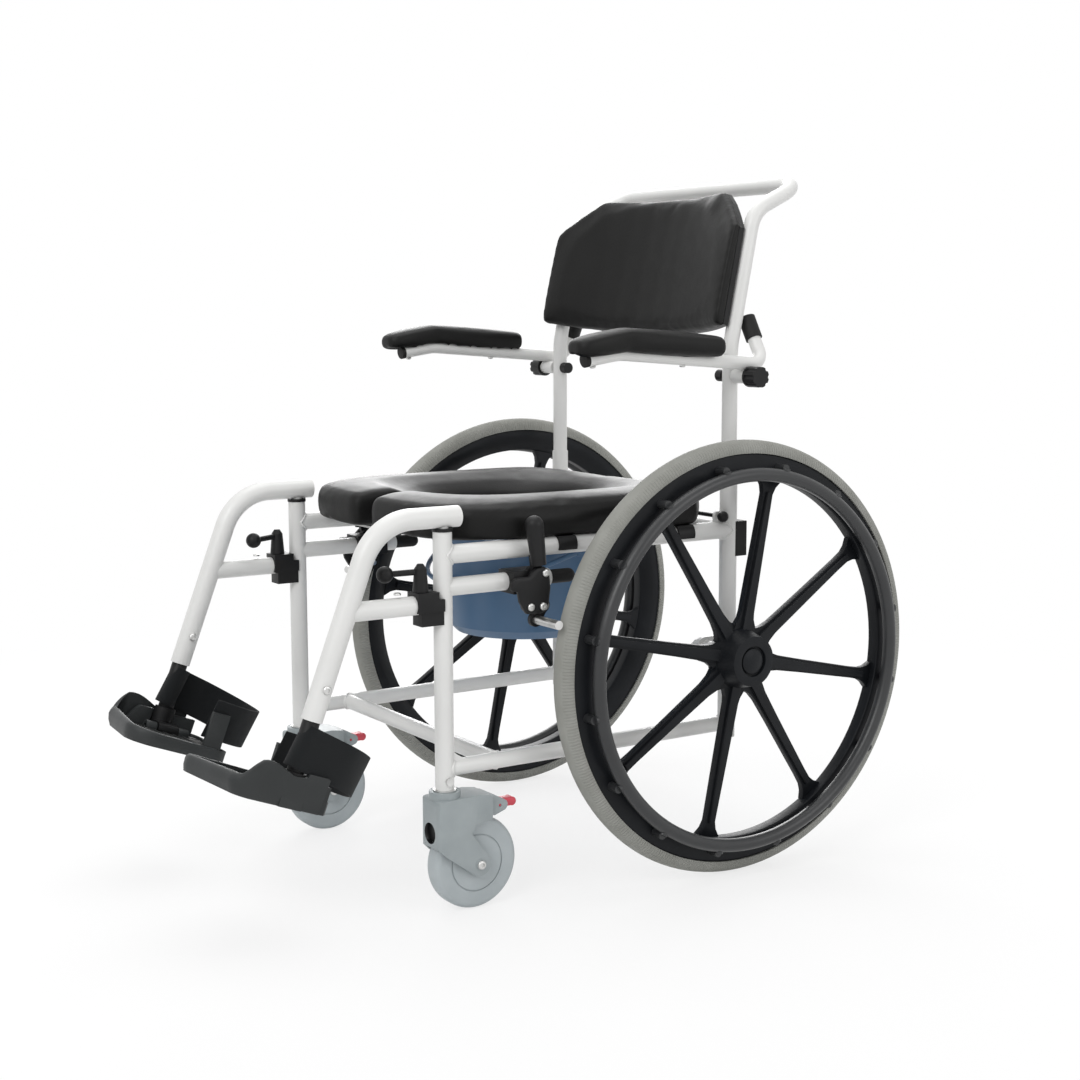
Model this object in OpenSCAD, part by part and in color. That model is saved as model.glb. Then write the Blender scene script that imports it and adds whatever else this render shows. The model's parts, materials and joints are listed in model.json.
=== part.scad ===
// Shower commode chair with self-propelling rear wheels, swing-away footrests and a slide-out pan.
// The chair faces -Y, its left side is +X, and the floor is z = 0. Lengths are in millimetres.

/* [Frame] */
// Distance between the left and right post axes
frame_w = 432; // [424:1:446]
// Distance from the front posts to the rear posts
frame_l = 472; // [466:1:490]
// Outer diameter of the front and rear posts
post_d = 25; // [24:0.5:27]
// Wall of the posts where something fits inside them
post_wall = 1.5; // [1.25:0.25:2]
// Diameter of the seat rails
seat_rail_d = 25; // [24:0.5:26]
// Rise of the front posts above the axes of the seat rails
post_over = 30.5; // [28:0.5:36]
// Diameter of the brake rails
brake_rail_d = 24; // [22:0.5:25]
// Drop of the brake rails below the seat rails
brake_rail_drop = 42.5; // [40:0.5:46]
// Length of the brake rails behind the brakes
brake_rail_over = 34; // [30:1:40]
// Diameter of the lower rails and of the cross tubes
lower_rail_d = 22; // [20:0.5:24]
// Height of the lower rails above the feet of the front posts
lower_rail_up = 27; // [26:0.5:32]
// Distance of the front cross tube behind the front posts
cross_back = 80; // [70:1:95]
// Length of the gussets at the front posts
gusset_l = 84; // [70:1:95]
// Height of the gussets above the axes of the lower rails
gusset_h = 43; // [36:1:50]
// Thickness of the gussets
gusset_t = 12; // [8:0.5:16]

/* [Back] */
// Diameter of the back frame tube and the push bar
back_d = 22; // [20:0.5:22]
// Height where the rear posts end and the back frame goes in
back_joint_z = 560; // [550:1:575]
// Length of the back frame inside the rear posts
back_socket_l = 58; // [45:1:64]
// Height where the back begins to recline
recline_z = 735; // [730:1:745]
// Recline of the back
recline = 11.7; // [8:0.1:13]
// Height where the push handles leave the back
handle_z = 925; // [915:1:935]
// Run of the push handles to the rear
handle_run = 87; // [80:1:100]
// Rise of the push handles
handle_rise = 41; // [36:1:50]
// Bend radius of the push bar corners
handle_bend_r = 38; // [32:1:44]
// Width of the backrest
backrest_w = 450; // [440:1:460]
// Depth of the backrest's curve
backrest_wrap = 52; // [44:1:56]
// Thickness of the backrest shell
shell_t = 8; // [6:0.5:9]
// Thickness of the backrest pad at its middle
back_pad_t = 26; // [20:0.5:30]
// Thickness of the backrest pad at its sides
back_pad_side_t = 22; // [16:0.5:24]

/* [Seat and pan] */
// Height of the seat's crown above the floor
seat_top_z = 540; // [530:1:550]
// Thickness of the seat pad
seat_t = 52; // [46:1:56]
// Width of the seat pad
seat_w = 470; // [460:1:474]
// Distance of the seat's front edge ahead of the front posts
seat_fwd = 9; // [4:0.5:12]
// Distance of the seat's rear edge ahead of the rear posts
seat_end = 34; // [33:0.5:38]
// Depth of the seat behind the middle of its opening
seat_rear_l = 205; // [195:1:215]
// Width of the opening in the seat
aperture_w = 205; // [190:1:220]
// Length of the opening in the seat
aperture_l = 250; // [230:1:260]
// Width of the slot at the seat's front edge
slot_w = 44; // [36:1:60]
// Diameter of the pan's rim
pan_rim_d = 314; // [308:1:318]
// Diameter of the pan's wall below the rim
pan_top_d = 272; // [266:1:274]
// Diameter of the pan's floor
pan_floor_d = 224; // [210:1:232]
// Depth of the pan
pan_h = 149; // [140:1:156]
// Wall of the pan
pan_wall = 3; // [2.5:0.25:4]
// Thickness of the pan ledges
ledge_t = 3; // [2.5:0.25:4]
// Clear width between the pan ledges
ledge_gap = 280; // [278:0.5:284]

/* [Rear wheels] */
// Outer diameter of the rear tyres
wheel_d = 610; // [604:1:616]
// Width of the tyres
tyre_w = 34; // [30:0.5:36]
// Diameter of the rim under the tyre
rim_d = 574; // [568:1:580]
// Inner diameter of the rim
rim_in_d = 506; // [500:1:512]
// Width of the rim
rim_w = 30; // [28:0.5:30]
// Distance from the post axes to the middle of the wheels
wheel_out = 72; // [70:0.5:78]
// Distance of the axles in front of the rear posts
axle_fwd = 40; // [36:0.5:44]
// Diameter of the axles
axle_d = 12; // [11:0.5:13]
// Number of spokes
spoke_n = 8; // [6:1:9]
// Diameter of the hand rims at the middle of their tube
handrim_d = 518; // [512:1:524]
// Thickness of the hand rims' tube
handrim_t = 19; // [16:0.5:20]
// Distance of the hand rims from the middle of the wheels
handrim_out = 33; // [31:0.5:36]

/* [Front casters] */
// Diameter of the caster wheels
caster_d = 125; // [122:1:128]
// Width of the caster wheels
caster_w = 28; // [26:0.5:30]
// Trail of the caster axles behind the posts
caster_trail = 40; // [38:0.5:42]
// Height of the posts' feet above the caster axles
fork_rise = 103.5; // [102:0.5:108]
// Width of the caster forks
fork_w = 48; // [46:0.5:52]
// Diameter of the caster stems
stem_d = 12; // [11:0.5:13]

/* [Armrests] */
// Height of the armrest pivots
arm_pivot_z = 694.5; // [688:0.5:700]
// Distance of the armrest tubes outside the post axes
arm_out = 34; // [34:0.5:38]
// Diameter of the armrest tubes
arm_d = 19; // [18:0.5:20]
// Rise of the armrest tubes above their pivots, at the rear posts
arm_rise = 18.5; // [17.5:0.5:19]
// Distance of the tubes' front ends ahead of the rear posts
arm_l = 269; // [260:1:278]
// Upward slope of the armrest tubes to the front
arm_tilt = 4.5; // [2:0.5:6]
// Downward slope of the tubes' front ends
arm_dip = 8.6; // [5:0.1:10]
// Length of the tubes' front ends
arm_dip_l = 51; // [44:1:60]
// Width of the armrest pads
arm_pad_w = 54; // [48:1:54]
// Length of the armrest pads
arm_pad_l = 240; // [230:1:250]
// Thickness of the armrest pads
arm_pad_t = 31; // [27:0.5:34]
// Diameter of the pivot pins
arm_pin_d = 10; // [9:0.5:11]

/* [Footrests] */
// Diameter of the hanger tubes
hanger_d = 28; // [27:0.5:29]
// Slope of the hangers from the vertical
hanger_tilt = 21; // [20:0.5:22]
// Reach of the hangers ahead of the posts, to where their two axes meet
hanger_reach = 97; // [92:1:104]
// Bend radius of the hangers
hanger_bend_r = 75; // [70:1:80]
// Length of the hangers' sloping part
hanger_l = 260; // [254:1:266]
// Diameter of the foot tubes
foot_d = 22; // [21:0.5:23]
// Distance from the hangers' top to the footplates, along the slope
foot_l = 356; // [352:1:362]
// Diameter of the hangers' pivot pins
hanger_pin_d = 16; // [15:0.5:17]
// Drop of the latches below the seat rails
latch_drop = 62.5; // [60:0.5:66]
// Width of the footplates, from their outer to their inner edge
plate_w = 150; // [140:1:156]
// Distance from the foot tubes to the toe edge at the footplates' inner side
toe_l = 92; // [86:1:98]
// Distance from the foot tubes to the heel edge
heel_l = 62; // [60:1:68]
// Thickness of the footplates
plate_t = 12; // [10:0.5:12]
// Height of the heel straps
strap_h = 56; // [48:1:60]
// Reach of the heel straps behind the foot tubes
strap_l = 112; // [106:1:116]

/* [Brakes] */
// Distance of the brakes behind the foremost points of the tyres
brake_in = 1; // [0:0.5:3]
// Height of the brake levers above their pivots
lever_l = 84; // [76:1:90]
// Diameter of the brake grips
grip_d = 25; // [23:0.5:26]
// Diameter of the shoe bars
shoe_d = 12; // [11:0.5:12]

/* [Hidden] */
$fn = 64;

// Sides of the chair
left = 1;
right = -1;

// Clearances: a shaft in its hole on the diameter, a running face, and the overrun of every cut
fit_gap = 0.1;
run_gap = 0.3;
over = 1;

// A bent tube is a little thicker through its bends, and its straights run a little way into them
bend_swell = 0.2;
bend_bite = 1.2;

// Colours
white_paint = [0.92, 0.92, 0.91];
black_foam = [0.13, 0.13, 0.13];
black_plastic = [0.1, 0.1, 0.11];
grey_tyre = [0.58, 0.58, 0.56];
grey_plastic = [0.57, 0.6, 0.61];
red_plastic = [0.8, 0.27, 0.33];
blue_plastic = [0.28, 0.39, 0.53];
steel = [0.75, 0.75, 0.76];

// Heights that follow from the driving sizes
half_w = frame_w / 2;
caster_r = caster_d / 2;
post_z0 = caster_r + fork_rise;
seat_z = seat_top_z - seat_t;
seat_rail_z = seat_z - seat_rail_d / 2;
post_z1 = seat_rail_z + post_over;
brake_rail_z = seat_rail_z - brake_rail_drop;
lower_rail_z = post_z0 + lower_rail_up;
latch_z = seat_rail_z - latch_drop;
wheel_r = wheel_d / 2;
wheel_x = half_w + wheel_out;
rear_foot_drop = 20;
rear_post_z0 = lower_rail_z - rear_foot_drop;

// Footrest geometry, measured from the front post axes
bush_flange_t = 4.2;
hanger_z = post_z1 + bush_flange_t + run_gap + hanger_d / 2;
plate_drop = plate_t + 2 * run_gap + 1.4;
foot_reach = hanger_reach + sin(hanger_tilt) * foot_l;
foot_z = hanger_z - cos(hanger_tilt) * foot_l;
toe_reach = foot_reach + cos(hanger_tilt) * toe_l + sin(hanger_tilt) * plate_drop;

// The origin lies under the middle of the chair's length
front_y = (toe_reach - frame_l + axle_fwd - wheel_r) / 2;
rear_y = front_y + frame_l;
axle_y = rear_y - axle_fwd;
brake_y = axle_y - wheel_r + brake_in;
brake_rail_end = brake_y + brake_rail_over;

// Points and vectors
function unit(v) = v / norm(v);
function flat(lists) = [for (a = lists) each a];
function arc(c, r, a0, a1, n) = [for (i = [0:n]) let (a = a0 + (a1 - a0) * i / n) c + r * [cos(a), sin(a)]];
function half_angle(p, i) = acos(unit(p[i - 1] - p[i]) * unit(p[i + 1] - p[i])) / 2;
function tangent(p, r, i) = i == 0 || i == len(p) - 1 ? 0 : r[i] / tan(half_angle(p, i));
function trim(p, r, i) = i == 0 || i == len(p) - 1 ? 0 : tangent(p, r, i) - bend_bite;

// One side's piece, drawn for the left
module side(s) {
    mirror([s < 0 ? 1 : 0, 0, 0]) children();
}

module both_sides() {
    for (s = [left, right]) side(s) children();
}

// A round bar from p to q
module rod(p, q, d) {
    v = q - p;
    translate(p) rotate([0, acos(v[2] / norm(v)), atan2(v[1], v[0])]) cylinder(h = norm(v), d = d);
}

// A round bar along X from x0 to x1, at a place in the YZ plane
module axle_rod(x0, x1, y, z, d) {
    translate([x0, y, z]) rotate([0, 90, 0]) cylinder(h = x1 - x0, d = d);
}

// The bend of a bar at corner i of path p
module elbow(p, r, i, d) {
    u = unit(p[i - 1] - p[i]);
    w = unit(p[i + 1] - p[i]);
    half = half_angle(p, i);
    c = p[i] + unit(u + w) * r[i] / sin(half);
    e1 = unit(p[i] + u * tangent(p, r, i) - c);
    n = unit(cross(e1, p[i] + w * tangent(p, r, i) - c));
    e2 = cross(n, e1);
    multmatrix([for (k = [0:2]) [e1[k], e2[k], n[k], c[k]]])
        rotate_extrude(angle = 180 - 2 * half) translate([r[i], 0]) circle(d = d + bend_swell, $fn = 48);
}

// A round bar bent along path p, with bend radius r[i] at corner i
module bent_rod(p, r, d) {
    for (i = [0:len(p) - 2]) {
        u = unit(p[i + 1] - p[i]);
        rod(p[i] + u * trim(p, r, i), p[i + 1] - u * trim(p, r, i + 1), d);
    }
    for (i = [1:len(p) - 2]) elbow(p, r, i, d);
}

// A closed skin over a row of rings, with a flat cap at each end
module loft(rings) {
    n = len(rings);
    m = len(rings[0]);
    walls = [for (i = [0:n - 2]) for (j = [0:m - 1]) let (k = (j + 1) % m)
        each [[i * m + j, i * m + k, (i + 1) * m + k], [i * m + j, (i + 1) * m + k, (i + 1) * m + j]]];
    caps = [for (j = [1:m - 2]) each [[0, j + 1, j], [(n - 1) * m, (n - 1) * m + j, (n - 1) * m + j + 1]]];
    polyhedron(points = flat(rings), faces = concat(walls, caps));
}

// Extrudes an outline in the YZ plane along X, from x0 to x1
module along_x(x0, x1) {
    translate([x0, 0, 0]) rotate([90, 0, 90]) linear_extrude(x1 - x0) children();
}

// Front posts: tubes with a caster stem in the foot and a hanger bush in the top
socket_d = post_d - 2 * post_wall;
stem_plug_l = 42;
bush_l = 40;
module post_cores() {
    both_sides() translate([half_w, front_y, 0]) cylinder(h = post_z1 + over, d = post_d);
    both_sides() translate([half_w, rear_y, 0]) cylinder(h = back_joint_z, d = post_d);
}
module front_posts() {
    color(white_paint) both_sides() translate([half_w, front_y, 0]) difference() {
        translate([0, 0, post_z0]) cylinder(h = post_z1 - post_z0, d = post_d);
        translate([0, 0, post_z0 - over]) cylinder(h = stem_plug_l + over, d = socket_d);
        translate([0, 0, post_z1 - bush_l]) cylinder(h = bush_l + over, d = socket_d);
    }
}

// Rear posts: tubes with a socket for the back frame and a welded bracket for the axle
bracket_t = 8;
bracket_h = 38;
sleeve_d = 28;
sleeve_in = 15;
hub_gap = 1;
hub_in = 25;
sleeve_x1 = wheel_x - hub_in - hub_gap;
module rear_posts() {
    color(white_paint) both_sides() difference() {
        union() {
            translate([half_w, rear_y, rear_post_z0]) cylinder(h = back_joint_z - rear_post_z0, d = post_d);
            translate([half_w - bracket_t / 2, axle_y, wheel_r - bracket_h / 2])
                cube([bracket_t, axle_fwd, bracket_h]);
            axle_rod(half_w - bracket_t / 2, half_w + bracket_t / 2, axle_y, wheel_r, bracket_h);
            axle_rod(half_w - sleeve_in, sleeve_x1, axle_y, wheel_r, sleeve_d);
        }
        axle_rod(half_w - sleeve_in - over, sleeve_x1 + over, axle_y, wheel_r, axle_d + fit_gap);
        translate([half_w, rear_y, back_joint_z - back_socket_l])
            cylinder(h = back_socket_l + over, d = back_d + fit_gap);
    }
}

// Seat rails: tubes between the posts, with a pan ledge inside and a lug for the seat rod behind
ledge_fwd = 95;
ledge_end = 42;
ledge_up = 4;
ledge_z = seat_rail_z - seat_rail_d / 2 + ledge_up;
rod_d = 6;
rod_y = rear_y - post_d / 2 - rod_d - 1;
rod_z = seat_z + rod_d + 2;
lug_t = 5;
lug_d = 15;
module seat_rails() {
    color(white_paint) both_sides() difference() {
        union() {
            rod([half_w, front_y, seat_rail_z], [half_w, rear_y, seat_rail_z], seat_rail_d);
            translate([ledge_gap / 2, front_y + ledge_fwd, ledge_z - ledge_t])
                cube([half_w - ledge_gap / 2, frame_l - ledge_end - ledge_fwd, ledge_t]);
            axle_rod(half_w - lug_t / 2, half_w + lug_t / 2, rod_y, rod_z, lug_d);
            translate([half_w - lug_t / 2, rod_y - lug_d / 2, seat_rail_z])
                cube([lug_t, lug_d, rod_z - seat_rail_z]);
        }
        axle_rod(half_w - lug_t, half_w + lug_t, rod_y, rod_z, rod_d + fit_gap);
        post_cores();
    }
}

// Brake rails: short tubes behind the front posts, open at the rear for a plug
plug_d = 19;
plug_in = 30;
plug_out = 33;
module brake_rails() {
    color(white_paint) both_sides() difference() {
        rod([half_w, front_y, brake_rail_z], [half_w, brake_rail_end, brake_rail_z], brake_rail_d);
        rod([half_w, brake_rail_end - plug_in, brake_rail_z],
            [half_w, brake_rail_end + over, brake_rail_z], plug_d + fit_gap);
        post_cores();
    }
}

// Lower rails: tubes between the posts, with a curved gusset at the front
gusset_steps = 10;
module lower_rail_cores() {
    both_sides() rod([half_w, front_y, lower_rail_z], [half_w, rear_y, lower_rail_z], lower_rail_d);
}
function gusset_edge(a) = [front_y + gusset_l * (1 - cos(a)), lower_rail_z + gusset_h * (1 - sin(a))];
module lower_rails() {
    color(white_paint) difference() {
        union() {
            lower_rail_cores();
            both_sides() along_x(half_w - gusset_t / 2, half_w + gusset_t / 2)
                polygon(concat([[front_y, lower_rail_z]],
                    [for (i = [0:gusset_steps]) gusset_edge(90 * i / gusset_steps)]));
        }
        post_cores();
    }
}

// Cross tubes: one between the lower rails, one between the rear posts under the seat's rear edge
module front_cross_tube() {
    color(white_paint) difference() {
        axle_rod(-half_w, half_w, front_y + cross_back, lower_rail_z, lower_rail_d);
        lower_rail_cores();
    }
}

module rear_cross_tube() {
    color(white_paint) difference() {
        axle_rod(-half_w, half_w, rear_y, seat_rail_z, lower_rail_d);
        post_cores();
        both_sides() rod([half_w, front_y, seat_rail_z], [half_w, rear_y + over, seat_rail_z], seat_rail_d);
    }
}

// Back frame: one bent tube from the left rear post over the push bar to the right rear post
recline_bend_r = 90;
handle_knee_r = 48;
knee_y = rear_y + tan(recline) * (handle_z - recline_z);
bar_y = knee_y + handle_run;
bar_z = handle_z + handle_rise;
back_path = [
    [half_w, rear_y, back_joint_z - back_socket_l], [half_w, rear_y, recline_z], [half_w, knee_y, handle_z],
    [half_w, bar_y, bar_z], [-half_w, bar_y, bar_z],
    [-half_w, knee_y, handle_z], [-half_w, rear_y, recline_z], [-half_w, rear_y, back_joint_z - back_socket_l]];
back_bends = [0, recline_bend_r, handle_knee_r, handle_bend_r, handle_bend_r, handle_knee_r, recline_bend_r, 0];
module back_frame() {
    color(white_paint) difference() {
        bent_rod(back_path, back_bends, back_d);
        both_sides() axle_rod(half_w - back_d, half_w + back_d, rear_y, arm_pivot_z, arm_pin_d + fit_gap);
    }
}

// Backrest: a curved shell screwed to the front of the back frame, with a foam pad in front of it
shell_half = backrest_w / 2;
shell_r = (shell_half ^ 2 + backrest_wrap ^ 2) / (2 * backrest_wrap) + shell_t;
shell_c = -sqrt((shell_r + back_d / 2 + run_gap) ^ 2 - half_w ^ 2);
pad_low = 17;
pad_low_sides = 24;
pad_high = 228;
pad_high_sides = 170;
pad_shoulder_share = 0.65;
shell_inset = 4;
pad_gap = 0.4;
function pad_top(x) = let (
    over_share = max(0, (abs(x) / shell_half - pad_shoulder_share) / (1 - pad_shoulder_share)))
    pad_high - (pad_high - pad_high_sides) * over_share ^ 1.15;
function pad_bottom(x) = pad_low + (pad_low_sides - pad_low) * (x / shell_half) ^ 2;
function shell_front(x) = shell_c + sqrt((shell_r - shell_t - pad_gap) ^ 2 - x ^ 2);

// Turns the upright back frame's axes to the reclined back
module reclined() {
    translate([0, rear_y, recline_z]) rotate([-recline, 0, 0]) children();
}

outline_shares = [-1, -0.9, -0.77, -0.65, -0.3, 0, 0.3, 0.65, 0.77, 0.9, 1];
module backrest_shell() {
    reach = shell_half - shell_inset;
    color(black_plastic) reclined() intersection() {
        linear_extrude(pad_high + over) difference() {
            translate([0, shell_c]) circle(r = shell_r, $fn = 180);
            translate([0, shell_c]) circle(r = shell_r - shell_t, $fn = 180);
            translate([-shell_r, -2 * shell_r - back_d - backrest_wrap]) square([2 * shell_r, 2 * shell_r]);
        }
        translate([0, shell_r, 0]) rotate([90, 0, 0]) linear_extrude(2 * shell_r) polygon(concat(
            [for (s = outline_shares) [s * reach, pad_bottom(s * shell_half) + shell_inset]],
            [for (i = [len(outline_shares) - 1:-1:0]) let (s = outline_shares[i])
                [s * reach, pad_top(s * shell_half) - shell_inset]]));
    }
}

// The pad's section at each station: thickness shares from the bottom edge up the front to the top edge
pad_stations = [
    -1, -0.985, -0.94, -0.86, -0.75, -0.65, -0.5, -0.3, -0.1,
    0.1, 0.3, 0.5, 0.65, 0.75, 0.86, 0.94, 0.985, 1];
pad_side_shares = [0.6, 0.88, 0.97, 1];
pad_up_shares = [0, 0.012, 0.05, 0.14, 0.32, 0.5, 0.68, 0.86, 0.95, 0.988, 1];
pad_crown_shares = [0.5, 0.84, 0.96, 1, 1, 0.97, 0.92, 0.85, 0.77, 0.62, 0.4];
function pad_thickness(i) = let (
    side_share = pad_side_shares[min(i, len(pad_stations) - 1 - i, len(pad_side_shares) - 1)],
    mid_share = 1 - pad_stations[i] ^ 4)
    side_share * (back_pad_side_t + (back_pad_t - back_pad_side_t) * mid_share);
function pad_ring(i) = let (
    x = pad_stations[i] * shell_half, low = pad_bottom(x), high = pad_top(x), rear = shell_front(x))
    concat([for (j = [0:len(pad_up_shares) - 1])
            [x, rear - pad_thickness(i) * pad_crown_shares[j], low + (high - low) * pad_up_shares[j]]],
        [for (share = [1, 0.68, 0.32, 0]) [x, rear, low + (high - low) * share]]);
module backrest_pad() {
    color(black_foam) reclined() loft([for (i = [0:len(pad_stations) - 1]) pad_ring(i)]);
}

// Seat pad: an open-front horseshoe of self-skinned foam, crowned and dished towards its opening
seat_half = seat_w / 2;
seat_front_l = frame_l + seat_fwd - seat_end - seat_rear_l;
seat_mid_y = rear_y - seat_end - seat_rear_l;
front_power = 4.2;
rear_power = 10;
aperture_power = 2.4;
seat_steps = 52;
slot_angle = atan(slot_w / 2 / seat_front_l);
// Shares across the section and shares of its height, from the opening's lower edge to the outer lower edge
seat_across_shares = [0.015, 0, 0.02, 0.08, 0.2, 0.45, 0.7, 0.9, 0.965, 0.995, 1, 0.985];
seat_up_shares = [0, 0.3, 0.46, 0.6, 0.78, 1, 0.985, 0.91, 0.82, 0.64, 0.36, 0];
seat_end_angles = [0, 1.2, 3.6];
seat_end_shares = [0.86, 0.955, 1];
function oval(a, b, power, t) = 1 / ((abs(sin(t)) / a) ^ power + (abs(cos(t)) / b) ^ power) ^ (1 / power);
// Directions turn from the slot's left side, round the back, to its right side
seat_turns = concat([for (a = seat_end_angles) slot_angle + a],
    [for (i = [1:seat_steps - 1]) let (a0 = slot_angle + max(seat_end_angles))
        a0 + (360 - 2 * a0) * i / seat_steps],
    [for (i = [len(seat_end_angles) - 1:-1:0]) 360 - slot_angle - seat_end_angles[i]]);
function seat_point(t, share, up) = let (
    inner = oval(aperture_w / 2, aperture_l / 2, aperture_power, t),
    outer = cos(t) > 0 ? oval(seat_half, seat_front_l, front_power, t) :
        oval(seat_half, seat_rear_l, rear_power, t),
    r = inner + (outer - inner) * share)
    [r * sin(t), seat_mid_y - r * cos(t), seat_z + seat_t * up];
function seat_ring(i) = let (
    n = len(seat_turns), e = len(seat_end_shares) - 1, s = seat_end_shares[min(i, n - 1 - i, e)])
    [for (j = [len(seat_across_shares) - 1:-1:0])
        seat_point(seat_turns[i], 0.5 + (seat_across_shares[j] - 0.5) * s, seat_up_shares[j] * s)];
module seat_pad() {
    color(black_foam) loft([for (i = [0:len(seat_turns) - 1]) seat_ring(i)]);
}

// Seat clips: snap-on saddles under the seat that grip the rails from above
clip_wall = 4;
clip_l = 28;
clip_grip = 6;
clip_places = [172, 372];
module seat_clips() {
    color(black_plastic) both_sides() for (back = clip_places)
        translate([half_w, front_y + back, 0]) difference() {
            rod([0, 0, seat_rail_z], [0, clip_l, seat_rail_z], seat_rail_d + 2 * clip_wall);
            rod([0, -over, seat_rail_z], [0, clip_l + over, seat_rail_z], seat_rail_d);
            for (z = [seat_z, seat_rail_z - clip_grip - seat_rail_d]) translate([-seat_rail_d, -over, z])
                cube([2 * seat_rail_d, clip_l + 2 * over, seat_rail_d]);
        }
}

// Seat rod: keeps the seat's rear edge down, with a ball knob at each end
rod_out = 12;
knob_d = 16;
module seat_rod() {
    color(black_plastic) {
        axle_rod(-half_w - rod_out, half_w + rod_out, rod_y, rod_z, rod_d);
        both_sides() translate([half_w + rod_out, rod_y, rod_z]) sphere(d = knob_d);
    }
}

// Rubber ends: plugs in the brake rails and bumpers behind the rear posts
bumper_w = 24;
bumper_t = 12;
bumper_h = 50;
bumper_z = seat_rail_z - bumper_h * 0.76;
module end_plugs() {
    color(black_plastic) both_sides() {
        rod([half_w, brake_rail_end - plug_in, brake_rail_z],
            [half_w, brake_rail_end + plug_out, brake_rail_z], plug_d);
        translate([half_w, brake_rail_end + plug_out, brake_rail_z]) intersection() {
            sphere(d = plug_d);
            translate([-plug_d, 0, -plug_d]) cube(2 * plug_d);
        }
        difference() {
            translate([half_w - bumper_w / 2, rear_y, bumper_z])
                cube([bumper_w, post_d / 2 + bumper_t, bumper_h]);
            translate([half_w, rear_y, bumper_z - over]) cylinder(h = bumper_h + 2 * over, d = post_d);
            axle_rod(0, half_w, rear_y, seat_rail_z, lower_rail_d + 2 * run_gap);
        }
    }
}

// Hanger bushes: flanged liners in the post tops
bush_flange_d = post_d + 2;
module hanger_bushes() {
    color(black_plastic) both_sides() translate([half_w, front_y, 0]) difference() {
        union() {
            translate([0, 0, post_z1 - bush_l]) cylinder(h = bush_l, d = socket_d);
            translate([0, 0, post_z1]) cylinder(h = bush_flange_t, d = bush_flange_d);
        }
        translate([0, 0, post_z1 - bush_l - over])
            cylinder(h = bush_l + bush_flange_t + 2 * over, d = hanger_pin_d + fit_gap);
    }
}

// Caster stems: plugs in the post feet, each with a washer and the stem that the fork turns on
washer_t = 1.7;
washer_d = 31;
stem_l = 34;
module caster_stems() {
    color(steel) both_sides() translate([half_w, front_y, 0]) {
        translate([0, 0, post_z0]) cylinder(h = stem_plug_l, d = socket_d);
        translate([0, 0, post_z0 - washer_t]) cylinder(h = washer_t, d = washer_d);
        translate([0, 0, post_z0 - stem_l]) cylinder(h = stem_l, d = stem_d);
    }
}

// Armrest pivots: cross pins through the back frame, with a cap inside and a fluted knob outside
cap_d = 17;
cap_l = 13;
arm_knob_d = 29;
arm_knob_l = 24;
arm_sleeve_x0 = half_w + back_d / 2 + 1.5;
arm_sleeve_l = half_w + arm_out + arm_d / 2 - arm_sleeve_x0;
arm_knob_x = arm_sleeve_x0 + arm_sleeve_l + run_gap;
flute_n = 8;
flute_d = 7;
module arm_pivots() {
    color(black_plastic) both_sides() {
        axle_rod(half_w - back_d / 2 - cap_l, arm_knob_x, rear_y, arm_pivot_z, arm_pin_d);
        axle_rod(half_w - back_d / 2 - cap_l, half_w - back_d / 2, rear_y, arm_pivot_z, cap_d);
        difference() {
            axle_rod(arm_knob_x, arm_knob_x + arm_knob_l, rear_y, arm_pivot_z, arm_knob_d);
            for (i = [1:flute_n]) let (a = 360 * i / flute_n)
                axle_rod(arm_knob_x + flute_d / 2, arm_knob_x + arm_knob_l + over,
                    rear_y + (arm_knob_d / 2 + flute_d / 4) * cos(a),
                    arm_pivot_z + (arm_knob_d / 2 + flute_d / 4) * sin(a), flute_d);
        }
    }
}

// Brake brackets: a clamp round the brake rail and a side plate with two pivots
clamp_half = 15;
clamp_fwd = 34;
clamp_l = 50;
clamp_y = brake_y - clamp_fwd;
plate_x0 = half_w + clamp_half;
brake_plate_t = 8;
brake_x = plate_x0 + brake_plate_t;
brake_pin_d = 8;
lever_up = 6;
shoe_aft = 8;
shoe_drop = 32;
lever_pivot = [brake_y, brake_rail_z + lever_up];
shoe_pivot = [brake_y + shoe_aft, brake_rail_z - shoe_drop];
bracket_round = 9;
module brake_brackets() {
    color(black_plastic) both_sides() difference() {
        union() {
            translate([half_w - clamp_half, clamp_y, brake_rail_z - clamp_half])
                cube([2 * clamp_half, clamp_l, 2 * clamp_half]);
            along_x(plate_x0, brake_x) {
                translate([clamp_y, brake_rail_z - clamp_half]) square([clamp_l, 2 * clamp_half]);
                translate(lever_pivot) circle(r = clamp_half);
                translate(shoe_pivot) circle(r = bracket_round);
                translate([shoe_pivot[0] - 2 * bracket_round, shoe_pivot[1]]) circle(r = bracket_round);
                translate([shoe_pivot[0] - 3 * bracket_round, shoe_pivot[1]])
                    square([4 * bracket_round, brake_rail_z - shoe_pivot[1]]);
                translate([shoe_pivot[0] - 2 * bracket_round, shoe_pivot[1] - bracket_round])
                    square([2 * bracket_round, bracket_round]);
            }
        }
        rod([half_w, clamp_y - over, brake_rail_z],
            [half_w, clamp_y + clamp_l + over, brake_rail_z], brake_rail_d);
        for (p = [lever_pivot, shoe_pivot]) axle_rod(plate_x0 - over, brake_x + over, p[0], p[1], brake_pin_d);
    }
}

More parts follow.
